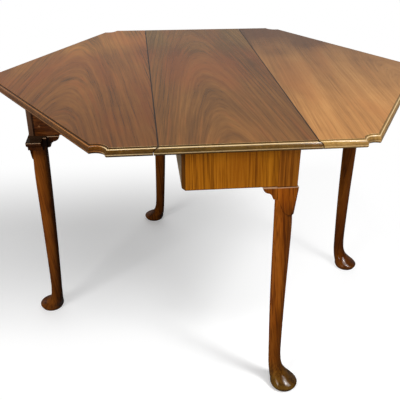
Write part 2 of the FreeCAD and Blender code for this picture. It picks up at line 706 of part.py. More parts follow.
def pivot_pin(side):
    """Make the iron pin on which a fly rail turns."""
    pin = doc.addObject("Part::Cylinder", side[0] + "_pivot_pin")
    pin.Label = side[0] + "_pivot_pin"
    pin.setExpression("Radius", bound("pivot_radius"))
    pin.setExpression("Height", bound("rail_height - 2 * pivot_inset"))
    place(pin, side, f"-{PIVOT_ACROSS}", f"-{PIVOT_SETBACK}", f"{RAIL_FOOT} + pivot_inset")
    parts[pin.Label] = pin


def corner_glue_block(side, label, corner_along, sign):
    """Draw the three-sided glue block between an inner rail and an end rail."""
    body = new_body(label)
    across = f"-({INNER_FACE} - inner_rail_thickness)"
    plan = sketch_on(body, "XY", ("0", "0", f"{RAIL_FOOT} + corner_block_trim"))
    draw(plan, [
        (across, corner_along),
        (f"{across} + corner_block", corner_along),
        (across, f"{corner_along} + {sign} * corner_block"),
    ])
    pad(body, plan, "rail_height - corner_block_trim")
    place(body, side)


# Legs
def rounded_square(sketch, low, high, radius):
    """Draw a square with rounded corners."""
    left, front = low
    right, back = high
    draw(sketch, [
        (f"{left} + {radius}", front),
        (f"{right} - {radius}", front),
        (right, f"{front} + {radius}", ("about", f"{right} - {radius}", f"{front} + {radius}", "ccw")),
        (right, f"{back} - {radius}"),
        (f"{right} - {radius}", back, ("about", f"{right} - {radius}", f"{back} - {radius}", "ccw")),
        (f"{left} + {radius}", back),
        (left, f"{back} - {radius}", ("about", f"{left} + {radius}", f"{back} - {radius}", "ccw")),
        (left, f"{front} + {radius}"),
        (f"{left} + {radius}", front, ("about", f"{left} + {radius}", f"{front} + {radius}", "ccw")),
    ][1:])


def knee(body, top):
    """Add the square knee that thins downwards and ends in a lappet on the toe's corner."""
    upper = sketch_on(body, "XY", ("0", "0", top))
    out = f"({HALF_BLOCK} + knee_proud)"
    rounded_square(upper, (f"-{out}", f"-{HALF_BLOCK}"), (HALF_BLOCK, out), "knee_edge_round")
    lower = sketch_on(body, "XY", ("0", "0", f"{RAIL_FOOT} - knee_length"))
    far = "(knee_half_width + knee_shift)"
    near = "(knee_half_width - knee_shift)"
    rounded_square(lower, (f"-{far}", f"-{near}"), (near, far), "knee_round")
    loft(body, [upper, lower], ruled=True)
    tip = f"({RAIL_FOOT} - lappet_drop)"
    rise = "(lappet_drop - block_drop)"
    radius = f"((tongue_width ^ 2 + {rise} ^ 2) / (2 * {rise}))"
    line = sketch_on(body, "XZ", ("leg_block * cos(45 deg)", "leg_block * sin(45 deg)", "0"), "135 deg")
    draw(line, [
        ("leg_block", tip),
        ("tongue_reach", tip),
        ("tongue_reach - tongue_width", BLOCK_FOOT, ("about", "tongue_reach", f"{tip} + {radius}", "cw")),
        ("-leg_block", BLOCK_FOOT),
        ("-leg_block", f"{tip} - leg_block"),
        ("leg_block", f"{tip} - leg_block"),
    ])
    pocket(body, line, "2 * leg_block")


def round_section(body, height, offset, radius):
    """Give a round section whose middle is set off towards the toe."""
    shift = f"({offset}) * cos(45 deg)"
    sketch = sketch_on(body, "XY", (f"-({shift})", shift, height))
    circle(sketch, "0", "0", radius)
    return sketch


def shaft_and_foot(body):
    """Add the round shaft and the pad foot."""
    top = f"({RAIL_FOOT} - shaft_top_drop)"
    shaft = [
        round_section(
            body,
            f"ankle_height + ({top} - ankle_height) * {up}",
            f"ankle_offset * {out}",
            f"ankle_radius + (shaft_radius - ankle_radius) * {wide}",
        )
        for up, out, wide in SHAFT_SHARES
    ]
    loft(body, shaft)
    foot = [
        round_section(
            body,
            f"ankle_height * {up}",
            f"ankle_offset + (pad_offset - ankle_offset) * {out}",
            f"ankle_radius + (pad_radius - ankle_radius) * {wide}",
        )
        for up, out, wide in FOOT_SHARES
    ]
    foot.append(round_section(body, "pad_height", "pad_offset", "pad_radius"))
    loft(body, foot)
    rim = round_section(body, "pad_height", "pad_offset", "pad_radius")
    base = round_section(body, "0", "pad_offset", "pad_base_radius")
    loft(body, [rim, base], ruled=True)


def fixed_leg(side, label):
    """Draw a fixed leg with its post and the mortises for the end rail and the fixed rail."""
    body = new_body(label)
    knee(body, f"{RAIL_FOOT} - ledge_drop")
    square = (f"-{HALF_BLOCK}", f"-{HALF_BLOCK}"), (HALF_BLOCK, HALF_BLOCK)
    box_pad(body, square[0] + (BLOCK_FOOT,), square[1] + (UNDERSIDE,))
    shaft_and_foot(body)
    low = f"{RAIL_FOOT} + tenon_shoulder - joint_clearance"
    high = f"{UNDERSIDE} - tenon_shoulder + joint_clearance"
    half = "(tenon_thickness / 2 + joint_clearance)"
    deep = "(tenon_length + joint_clearance)"
    middle = f"({HALF_BLOCK} - end_rail_thickness / 2)"
    box_pocket(
        body,
        (f"{HALF_BLOCK} - {deep}", f"{middle} - {half}", low),
        (f"{HALF_BLOCK} + cut_overrun", f"{middle} + {half}", high),
    )
    box_pocket(
        body,
        (f"-{SWING_SHIFT} - {half}", f"-{HALF_BLOCK} - cut_overrun", low),
        (f"-{SWING_SHIFT} + {half}", f"-{HALF_BLOCK} + {deep}", high),
    )
    place(body, side, f"-{LEG_ACROSS}", LEG_ALONG)


def swing_leg(side):
    """Draw a swing leg with its shoulder under the frame and the post that the fly rail laps."""
    body = new_body(side[0] + "_swing_leg")
    knee(body, SHELF)
    box_pad(body, (f"-{HALF_BLOCK}", f"-{HALF_BLOCK}", BLOCK_FOOT), (HALF_BLOCK, HALF_BLOCK, SHELF))
    front = f"({HALF_BLOCK} - swing_rail_thickness)"
    lap = f"({front} + lap_thickness)"
    stop = f"(-{HALF_BLOCK} + lap_stop)"
    post = sketch_on(body, "XY", ("0", "0", SHELF))
    draw(post, [
        (f"-{HALF_BLOCK}", front),
        (stop, front),
        (stop, lap),
        (HALF_BLOCK, lap),
        (HALF_BLOCK, HALF_BLOCK),
        (f"-{HALF_BLOCK}", HALF_BLOCK),
    ])
    pad(body, post, f"{SWING_TOP} - {SHELF}")
    shaft_and_foot(body)
    holes = sketch_on(body, "XZ", ("0", front, "0"))
    for across, height in peg_spots():
        circle(holes, across, height, "peg_radius + joint_clearance")
    pocket(body, holes, "swing_rail_thickness + cut_overrun")
    place(body, side, f"-({PIVOT_ACROSS} + {SWING_REACH})", f"-{PIVOT_SETBACK} - {SWING_SHIFT}")


def ear(side, label, across, along, height, turn, inner):
    """Draw an ear that runs from a leg's block along local X, its show face on local -Y or +Y."""
    body = new_body(label)
    outline = sketch_on(body, "XZ")
    path = []
    for out, down, bow in EAR_SHARES:
        corner = (f"ear_width * {out}", f"-ear_height * {down}")
        path.append(corner if bow == 0 else corner + (("bow", f"ear_width * ({bow})"),))
    draw(outline, path)
    pad(body, outline, "ear_thickness", reverse=inner)
    place(body, side, across, along, height, turn)


# Hinges and fasteners
def group(label, side, unit, spots):
    """Repeat a unit at a list of places and give the row as one sub-part."""
    shapes = []
    for across, along, height in spots:
        shape = unit.Shape.copy()
        shape.translate(Vector(num(across), num(along), num(height)))
        shapes.append(shape)
    feature = doc.addObject("Part::Feature", label)
    feature.Label = label
    feature.Shape = Part.makeCompound(shapes)
    feature.Placement = Placement(Vector(), half_turn(side))
    parts[label] = feature


def hinge_body(label, reach, shares, sign, clearance, middle):
    """Draw one plate of a hinge about its pin, with barrel pieces, bore and countersunk holes."""
    body = doc.addObject("PartDesign::Body", label)
    floor = f"-{PIN_DEPTH}"
    edge = f"({sign} * hinge_setback)"
    plate = sketch_on(body, "XY", ("0", "0", floor))
    rectangle(plate, (edge, f"-{HALF_HINGE}"), (f"{sign} * {reach}", HALF_HINGE))
    pad(body, plate, "hinge_plate")
    near = f"({THIRD_HINGE} + finger_clearance / 2)"
    spans = [(near, HALF_HINGE), (f"-{HALF_HINGE}", f"-{near}")]
    if middle:
        near = f"({THIRD_HINGE} - finger_clearance / 2)"
        spans = [(f"-{near}", near)]
    for low, high in spans:
        tab = (f"{sign} * (hinge_setback + hinge_plate)", high, f"{floor} + hinge_plate")
        box_pad(body, ("0", low, floor), tab)
        box_pad(body, ("0", low, floor), (f"{sign} * hinge_barrel", high, "0"))
        barrel = sketch_on(body, "XZ", ("0", high, "0"))
        circle(barrel, "0", "0", "hinge_barrel")
        pad(body, barrel, f"({high}) - ({low})")
    bore = sketch_on(body, "XZ", ("0", f"-{HALF_HINGE} - cut_overrun", "0"))
    circle(bore, "0", "0", f"hinge_pin + {clearance}")
    pocket(body, bore, "hinge_length + 2 * cut_overrun")
    for across, along in hinge_holes(reach, shares, sign):
        sketch = sketch_on(body, "XZ", (across, along, floor))
        draw(sketch, [
            ("0", "0"),
            ("screw_head + running_clearance", "0"),
            ("screw_radius + running_clearance", "hinge_plate"),
            ("0", "hinge_plate"),
        ])
        spin(body, sketch, "Groove")
    return body


def hinge_screw():
    """Draw a slotted countersunk screw, head down, its head's face at the body's origin."""
    body = doc.addObject("PartDesign::Body", "hinge_screw_unit")
    half = sketch_on(body, "XZ")
    draw(half, [
        ("0", "0"),
        ("screw_head", "0"),
        ("screw_radius", "hinge_plate"),
        ("screw_radius", "screw_length - screw_point"),
        ("0", "screw_length"),
    ])
    spin(body, half, "Revolution")
    box_pocket(
        body,
        ("-screw_head", "-slot_width / 2", "-cut_overrun"),
        ("screw_head", "slot_width / 2", "slot_depth"),
    )
    return body


def top_screw():
    """Draw a cheese-headed screw, head down, its shoulder at the body's origin."""
    body = doc.addObject("PartDesign::Body", "top_screw_unit")
    tip = "(pocket_drop + top_screw_bite)"
    half = sketch_on(body, "XZ")
    draw(half, [
        ("0", "-top_screw_cheese"),
        ("top_screw_head", "-top_screw_cheese"),
        ("top_screw_head", "0"),
        ("top_screw_radius", "0"),
        ("top_screw_radius", f"{tip} - screw_point"),
        ("0", tip),
    ])
    spin(body, half, "Revolution")
    box_pocket(
        body,
        ("-top_screw_head - cut_overrun", "-slot_width / 2", "-top_screw_cheese - cut_overrun"),
        ("top_screw_head + cut_overrun", "slot_width / 2", "-top_screw_cheese + slot_depth"),
    )
    return body


def rail_screw():
    """Draw a countersunk screw along -X, its head's face at the body's origin."""
    body = doc.addObject("PartDesign::Body", "rail_screw_unit")
    half = sketch_on(body, "XZ")
    screw_profile(half, "0", "0")
    axis_spin(body, half, "Revolution")
    box_pocket(
        body,
        ("-slot_depth", "-slot_width / 2", "-rail_screw_head - cut_overrun"),
        ("cut_overrun", "slot_width / 2", "rail_screw_head + cut_overrun"),
    )
    return body


def peg():
    """Draw a wooden peg along +Y, its front face at the body's origin."""
    body = doc.addObject("PartDesign::Body", "peg_unit")
    face = sketch_on(body, "XZ")
    circle(face, "0", "0", "peg_radius")
    pad(body, face, "swing_rail_thickness", reverse=True)
    return body


def build():
    """Draw every piece of the table."""
    centre_top()
    end_rail(LEFT, "front_end_rail")
    end_rail(RIGHT, "back_end_rail")
    fixed_leg(LEFT, "back_left_leg")
    fixed_leg(RIGHT, "front_right_leg")
    still = "running_clearance / 2"
    plate = hinge_body("hinge_plate_unit", "hinge_short", PLATE_HOLE_SHARES, "1", still, False)
    strap = hinge_body("hinge_strap_unit", "hinge_long", STRAP_HOLE_SHARES, "-1", "running_clearance", True)
    pin = doc.addObject("Part::Cylinder", "hinge_pin_unit")
    pin.setExpression("Radius", bound("hinge_pin"))
    pin.setExpression("Height", bound("hinge_length"))
    pin.Placement = Placement(Vector(), Rotation(Vector(1, 0, 0), -90))
    screw, holder, fastener, dowel = hinge_screw(), top_screw(), rail_screw(), peg()
    proud = f"({HALF_BLOCK} + knee_proud)"
    fixed_names = {"left": "back_left", "right": "front_right"}
    for side in (LEFT, RIGHT):
        name = side[0]
        fixed = fixed_names[name]
        leaf(side)
        inner_rail(side)
        fixed_rail(side)
        fly_rail(side)
        pivot_pin(side)
        swing_leg(side)
        near, far = ("front", "back") if name == "left" else ("back", "front")
        corner_glue_block(side, f"{near}_{name}_glue_block", f"-{END_FACE}", "1")
        corner_glue_block(side, f"{far}_{name}_glue_block", END_FACE, "-1")
        for across, along, height, ears in (
            (f"-{LEG_ACROSS}", LEG_ALONG, RAIL_FOOT, (f"{fixed}_end_ear", f"{fixed}_side_ear")),
            (
                f"-({PIVOT_ACROSS} + {SWING_REACH})",
                f"-{PIVOT_SETBACK} - {SWING_SHIFT}",
                SHELF,
                (f"{name}_swing_rail_ear", f"{name}_swing_end_ear"),
            ),
        ):
            ear(side, ears[0], f"{across} + {HALF_BLOCK}", f"{along} + {proud}", height, 0, False)
            ear(side, ears[1], f"{across} - {proud}", f"{along} - {HALF_BLOCK}", height, -90, True)
    doc.recompute()
    for side in (LEFT, RIGHT):
        name = side[0]
        axis = [("-joint_half_width", along, PIN_HEIGHT) for along in hinge_spots()]
        group(f"{name}_hinge_plates", side, plate, axis)
        group(f"{name}_hinge_straps", side, strap, axis)
        ends = [(across, f"{along} - {HALF_HINGE}", height) for across, along, height in axis]
        group(f"{name}_hinge_pins", side, pin, ends)
        for kind, reach, shares, sign in (
            ("plate", "hinge_short", PLATE_HOLE_SHARES, "1"),
            ("strap", "hinge_long", STRAP_HOLE_SHARES, "-1"),
        ):
            spots = [
                (f"-joint_half_width + {across}", f"{along} + {up}", UNDERSIDE)
                for along in hinge_spots()
                for across, up in hinge_holes(reach, shares, sign)
            ]
            group(f"{name}_{kind}_screws", side, screw, spots)
        group(f"{name}_top_screws", side, holder, [spot + (POCKET_CEILING,) for spot in top_screw_spots()])
        head = f"-({INNER_FACE} - inner_rail_thickness)"
        group(f"{name}_rail_screws", side, fastener, [(head,) + spot for spot in rail_screw_spots()])
        axle = f"-({PIVOT_ACROSS} + {SWING_REACH})"
        front = f"-{PIVOT_SETBACK} - {HALF_SWING}"
        group(f"{name}_leg_pegs", side, dowel, [(f"{axle} + {out}", front, up) for out, up in peg_spots()])


def check():
    """Stop if a feature failed, a cut took nothing or a sub-part isn't valid."""
    for thing in doc.Objects:
        if "Invalid" in thing.State or "Error" in thing.State:
            raise RuntimeError(f"{thing.Label}: {thing.State}")
    for body in doc.findObjects("PartDesign::Body"):
        before = 0.0
        for feature in body.Group:
            if not feature.isDerivedFrom("PartDesign::Feature"):
                continue
            volume = feature.Shape.Volume
            cuts = feature.TypeId in ("PartDesign::Pocket", "PartDesign::Groove")
            if cuts and volume >= before or not cuts and volume <= before:
                raise RuntimeError(f"{body.Label}: {feature.Label} changes nothing")
            before = volume
    for label, thing in parts.items():
        if not thing.Shape.isValid() or not thing.Shape.Solids:
            raise RuntimeError(f"{label}: not a valid solid")


build()
check()
os.makedirs("parts", exist_ok=True)
for label, thing in parts.items():
    thing.Shape.exportStep(f"parts/{label}.step")
print(len(parts), "sub-parts written")
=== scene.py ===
"""Looks of the swing-leg drop-leaf table: finishes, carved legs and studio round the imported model.

All lengths are in metres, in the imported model's frame: X across the leaves, Y along the joint
lines and Z up, with the origin on the floor below the middle of the top.
"""

import logging
import math
from dataclasses import dataclass, replace
from enum import Enum
from typing import Dict, Iterable, List, Optional, Sequence, Tuple, Union

import bmesh
import bpy
from bmesh.types import BMEdge, BMFace, BMVert
from bpy.types import ColorRamp, Material, NodeSocket, Object, World
from mathutils import Matrix, Vector


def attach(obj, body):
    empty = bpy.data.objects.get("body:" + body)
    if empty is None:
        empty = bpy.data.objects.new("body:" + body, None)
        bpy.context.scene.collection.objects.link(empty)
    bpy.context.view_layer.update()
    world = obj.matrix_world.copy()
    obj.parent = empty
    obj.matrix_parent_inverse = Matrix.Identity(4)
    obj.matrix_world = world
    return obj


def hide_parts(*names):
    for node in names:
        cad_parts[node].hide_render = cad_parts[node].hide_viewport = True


Colour = Tuple[float, float, float]
Triple = Tuple[float, float, float]
Pair = Tuple[float, float]
Key = Union[str, int]
Paints = Dict[str, Material]

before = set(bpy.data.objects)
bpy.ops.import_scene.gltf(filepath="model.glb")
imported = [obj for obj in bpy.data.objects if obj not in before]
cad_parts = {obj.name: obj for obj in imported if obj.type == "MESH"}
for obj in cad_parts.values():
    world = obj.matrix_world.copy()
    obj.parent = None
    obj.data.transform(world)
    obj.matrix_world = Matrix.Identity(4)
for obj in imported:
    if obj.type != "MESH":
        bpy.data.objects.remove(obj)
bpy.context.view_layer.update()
LOG = logging.getLogger("table")


class Wire:
    """A value in a finish that Python arithmetic can work on."""

    def __init__(self, recipe: "Recipe", socket: Optional[NodeSocket]) -> None:
        """Keep the recipe and the socket that gives the value."""
        self.recipe = recipe
        self.socket = socket

    def math(self, operation: str, *others: "Value") -> "Wire":
        """Put this value first into a Math node of the given operation."""
        sockets = dict(enumerate((self,) + others))
        return self.recipe.add("ShaderNodeMath", {"operation": operation}, sockets)

    def __add__(self, other: "Value") -> "Wire":
        """Add."""
        return self.math("ADD", other)

    def __radd__(self, other: "Value") -> "Wire":
        """Add to a plain number."""
        return self.math("ADD", other)

    def __sub__(self, other: "Value") -> "Wire":
        """Take away."""
        return self.math("SUBTRACT", other)

    def __rsub__(self, other: "Value") -> "Wire":
        """Take away from a plain number."""
        return self.recipe.add("ShaderNodeMath", {"operation": "SUBTRACT"}, {0: other, 1: self})

    def __mul__(self, other: "Value") -> "Wire":
        """Multiply."""
        return self.math("MULTIPLY", other)

    def __rmul__(self, other: "Value") -> "Wire":
        """Multiply a plain number."""
        return self.math("MULTIPLY", other)

    def __pow__(self, other: "Value") -> "Wire":
        """Raise to a power."""
        return self.math("POWER", other)

    def __abs__(self) -> "Wire":
        """Drop the sign."""
        return self.math("ABSOLUTE")

    def most(self, other: "Value") -> "Wire":
        """Give the larger of two values."""
        return self.math("MAXIMUM", other)

    def step(self, low: float, high: float) -> "Wire":
        """Rise smoothly from 0 to 1, or fall where low is the larger.

        Args:
            low: the value that gives 0.
            high: the value that gives 1.

        Returns:
            The wire of the rise.
        """
        settings = {"interpolation_type": "SMOOTHSTEP"}
        sockets = {"Value": self, "From Min": low, "From Max": high}
        return self.recipe.add("ShaderNodeMapRange", settings, sockets)


Value = Union[Wire, float, Sequence[float]]


class Pattern(Enum):
    """Noise patterns: bumps per metre along each axis, layers of finer noise, and a shift."""

    SLOW = ((5.0, 1.5, 5.0), 2.0, 0.0)
    RIPPLE = ((26.0, 5.0, 26.0), 3.0, 9.4)
    BROAD = ((30.0, 0.8, 30.0), 3.0, 6.2)
    STREAK = ((200.0, 3.0, 200.0), 3.0, 3.1)
    FLECK = ((300.0, 14.0, 300.0), 2.0, 2.7)
    FIBRE = ((620.0, 6.0, 620.0), 2.0, 7.7)
    PORE = ((1000.0, 36.0, 1000.0), 1.0, 1.9)
    CLOUD = ((9.0, 3.2, 9.0), 4.0, 8.8)
    PATCH = ((10.0, 2.6, 10.0), 3.0, 5.3)
    WANDER = ((4.0, 4.0, 4.0), 3.0, 4.1)
    RAGGED = ((60.0, 60.0, 60.0), 3.0, 6.6)
    SMUDGE = ((9.0, 9.0, 9.0), 3.0, 2.2)
    BLOTCH = ((160.0, 160.0, 160.0), 4.0, 0.0)
    GRIT = ((900.0, 900.0, 900.0), 2.0, 4.0)


# Value that noise swings about, and the way in which its pattern is shifted
MIDDLE = 0.5
SHIFT_WAY = (1.0, 1.7, 0.6)


class Recipe:
    """A node tree that is filled one node at a time."""

    def __init__(self, holder: Union[Material, World]) -> None:
        """Clear the holder's node tree and keep it."""
        holder.use_nodes = True
        self.tree = holder.node_tree
        self.tree.nodes.clear()

    def add(self, kind: str, settings: Dict[str, object], sockets: Dict[Key, Value], out: Key = 0) -> Wire:
        """Add a node.

        Args:
            kind: the node's type.
            settings: the node's own settings, with a ramp's stops as (place, colour) pairs.
            sockets: values or wires for its inputs, by index, identifier or name.
            out: the output that is given back.

        Returns:
            The wire of that output.
        """
        node = self.tree.nodes.new(kind)
        for name, value in settings.items():
            if name == "stops":
                self.set_stops(node.color_ramp, value)
            else:
                setattr(node, name, value)
        for key, value in sockets.items():
            socket = self.find(node.inputs, key)
            if isinstance(value, Wire):
                self.tree.links.new(value.socket, socket)
            else:
                socket.default_value = value
        return Wire(self, self.find(node.outputs, out) if node.outputs else None)

    @staticmethod
    def find(sockets: bpy.types.bpy_prop_collection, key: Key) -> NodeSocket:
        """Find a socket.

        Args:
            sockets: a node's inputs or outputs.
            key: the socket's index, identifier or name.

        Returns:
            The socket.
        """
        if isinstance(key, int):
            return sockets[key]
        same = [socket for socket in sockets if socket.identifier == key]
        return same[0] if same else sockets[key]

    @staticmethod
    def set_stops(ramp: ColorRamp, stops: Sequence[Tuple[float, Colour]]) -> None:
        """Give a colour ramp its stops.

        Args:
            ramp: the ramp.
            stops: its places and colours, in order.
        """
        while len(ramp.elements) < len(stops):
            ramp.elements.new(1.0)
        for element, (place, colour) in zip(ramp.elements, stops):
            element.position = place
            element.color = (*colour, 1.0)

    def split(self, place: Wire) -> Tuple[Wire, ...]:
        """Give the X, Y and Z of a place."""
        node = self.add("ShaderNodeSeparateXYZ", {}, {0: place}).socket.node
        return tuple(Wire(self, socket) for socket in node.outputs)

    def noise(self, at: Wire, pattern: Pattern) -> Wire:
        """Add noise on a stretched pattern.

        Args:
            at: the place on the piece.
            pattern: the noise's scale, detail and shift.

        Returns:
            The wire of the noise, which swings about MIDDLE.
        """
        scale, detail, shift = pattern.value
        offset = tuple(shift * way for way in SHIFT_WAY)
        sockets = {0: at, 1: scale, 2: offset}
        vector = self.add("ShaderNodeVectorMath", {"operation": "MULTIPLY_ADD"}, sockets)
        return self.add("ShaderNodeTexNoise", {}, {"Vector": vector, "Scale": 1.0, "Detail": detail})

    def mix(self, share: Value, first: Value, second: Value, blend: str = "MIX") -> Wire:
        """Mix two colours.

        Args:
            share: share of the second colour.
            first: the first colour.
            second: the second colour.
            blend: how they mix.

        Returns:
            The wire of the mixed colour.
        """
        settings = {"data_type": "RGBA", "blend_type": blend}
        pair = [value if isinstance(value, Wire) else (*value, 1.0) for value in (first, second)]
        sockets = {"Factor_Float": share, "A_Color": pair[0], "B_Color": pair[1]}
        return self.add("ShaderNodeMix", settings, sockets, "Result_Color")

    def surface(self, sockets: Dict[Key, Value]) -> None:
        """End a material with a Principled shader."""
        shader = self.add("ShaderNodeBsdfPrincipled", {}, sockets)
        self.add("ShaderNodeOutputMaterial", {}, {"Surface": shader})


def shade(*parts: int) -> Colour:
    """Turn a screen colour into a linear one.

    Args:
        parts: red, green and blue from 0 to 255.

    Returns:
        The linear colour.
    """
    linear = []
    for part in parts:
        value = part / 255
        linear.append(value / 12.92 if value <= 0.04045 else ((value + 0.055) / 1.055) ** 2.4)
    return tuple(linear)


class Grain(Enum):
    """Which way the fibres of a piece run, as the turn that brings them onto local Y."""

    ALONG = (0.0, 0.0, 0.0)
    UP = (math.radians(-90), 0.0, 0.0)
    ACROSS = (0.0, 0.0, math.radians(90))


# Boards of the top, and the hinge pin and round of their joints
TOP_HEIGHT = 0.72
BOARD_THICKNESS = 0.018
UNDERSIDE = TOP_HEIGHT - BOARD_THICKNESS
JOINT = 0.1612
PIN_HEIGHT = 0.707
JOINT_RADIUS = 0.0104

# Figure of the wood: its ripples, rings, leaning fibres and ramp of tones
RIPPLE_DEPTH = 0.04
RING_SHARPNESS = 3.0
RING_LIFT = 0.2
FIBRE_LEAN = 0.06
TONE_STOPS = (0.28, 0.50, 0.74)

# Marks in the wood: the noise at which each starts and is full
RING_EDGE = (0.35, 0.65)
PORE_EDGE = (0.60, 0.74)
PATCH_EDGE = (0.48, 0.72)
FLAME_EDGE = (0.80, 0.98)

# Shares of the patterns in the wood's tone, and of the marks in its colour and relief
BAND_SHARE = 0.46
STREAK_SHARE = 0.30
FLECK_SHARE = 0.12
FIBRE_SHARE = 0.22
PATCH_SHARE = 0.5
PORE_SHARE = 0.25
FLAME_SHARE = 0.4
FIBRE_RELIEF = 0.35

# Wear and painted light on the moulded edge by depth below the top, in shares of the board: dirt and
# painted shade below 0.5, worn polish and painted highlights above
EDGE_WEAR_SHADE_AND_HIGHLIGHT = (
    (0.000, 0.50), (0.006, 0.50), (0.014, 0.84), (0.030, 0.80), (0.045, 0.14), (0.095, 0.12), (0.125, 0.50),
    (0.150, 0.88), (0.185, 0.92), (0.220, 0.54), (0.260, 0.46), (0.380, 0.50), (0.440, 0.42), (0.490, 0.38),
    (0.540, 0.30), (0.590, 0.26), (0.635, 0.48), (0.675, 0.74), (0.755, 0.70), (0.805, 0.24), (0.860, 0.08),
    (1.000, 0.10),
)
EDGE_LEVEL_PLAIN = 0.5
EDGE_LEVEL_BRIGHT = 0.98
EDGE_START = (0.01, 0.03)
HOLLOW_DIRT_AND_SHADE_SHARE = 0.9
HOLLOW_DIRT_AND_SHADE_LOSS = 0.35
CREST_WEAR_AND_HIGHLIGHT_SHARE = 0.8

# Where the moulded edge is painted paler, as lit: the end grain at the centre board's ends and the right
# side; and the edge's tones, painted lighter on the right and darker on the left as the light falls
END_ALONG = (0.450, 0.488)
END_ACROSS = (0.280, 0.262)
PALE_LIT_ACROSS = (0.15, 0.18)
LIT_SIDE_ACROSS = (-0.05, 0.18)
SIDE_TONE = (0.52, 0.53, 0.46)
PAINTED_SHADED_END_TONE = (0.47, 0.63, 0.62)
PAINTED_LIT_END_TONE = (0.74, 0.94, 1.05)

# Dark line of the joint: width on the round, its start past the joint, the fillet's width and height
ROUND_EDGE = (0.0014, 0.0004)
ROUND_START = (-0.0006, 0.0002)
FILLET_EDGE = (0.0021, 0.0010)
FILLET_HEIGHT = (0.0098, 0.0106)
JOINT_SHARE = 0.88

# Tone of the boards from front to rear: fading by daylight, with painted sheen and painted shade
LEAF_MIDDLE = 0.3
FADE_AND_LIGHT_SLANT = 0.3
FADE_AND_LIGHT_WANDER = 0.5
FRONT_FADE_AND_LIGHT = (0.08, -0.40)
REAR_FADE_AND_LIGHT = (0.06, 0.36)

# Heights on a leg of the knee's painted light and shade, the ledge's painted highlight and shade, the
# darker ankle, the toe's dust and painted light, and the foot's shine; and the painted shade under the
# lappet's lip
RAGGED_DEPTH = 0.02
KNEE_LOW = (0.52, 0.55)
KNEE_HIGH = (0.5905, 0.5895)
LEDGE_LOW = (0.5864, 0.5878)
LEDGE_HIGH = (0.5912, 0.5902)
LEDGE_FLAT = (0.5882, 0.5888)
LEDGE_HIGHLIGHT_SHARE = 0.5
LIP_SHADE_AND_DIRT_SHARE = 0.85
ANKLE_HEIGHT = (0.30, 0.08)
ANKLE_TONE = (0.62, 0.62, 0.68)
TOE_HEIGHT = (0.085, 0.012)
FOOT_SHINE_HEIGHT = (0.07, 0.02)
FOOT_SHINE = 0.28

# Dark seams where veneer ends, a painted shadow line at the foot of the rails and posts, and the bare
# underside of the boards
LAP_WIDTH = 0.001
FOOT_SHADOW_LINE = (0.0022, 0.0008)
DARK_LINE_SHARE = 0.8
POLISH_START = (0.0001, 0.0006)
BARE_SHARE = 0.45

# Relief and gloss of the varnish
RELIEF = {"Strength": 0.3, "Distance": 0.0002}
SMUDGE_DEPTH = 0.16
COAT_ROUGHNESS = 0.14


@dataclass
class Coat:
    """A finish being laid: the place on the table, whole and by axis, and the colour so far."""

    recipe: Recipe
    place: Wire
    across: Wire
    along: Wire
    height: Wire
    colour: Wire

    def lay(self, share: Wire, colour: Value, blend: str = "MIX") -> None:
        """Mix a share of a colour into the colour so far."""
        self.colour = self.recipe.mix(share, self.colour, colour, blend)

    def tone(self, share: Wire, tone: Value) -> None:
        """Multiply the colour so far by a share of a tone."""
        self.lay(share, tone, "MULTIPLY")

    def noise(self, pattern: Pattern) -> Wire:
        """Give noise that swings about 0."""
        return self.recipe.noise(self.place, pattern) - MIDDLE


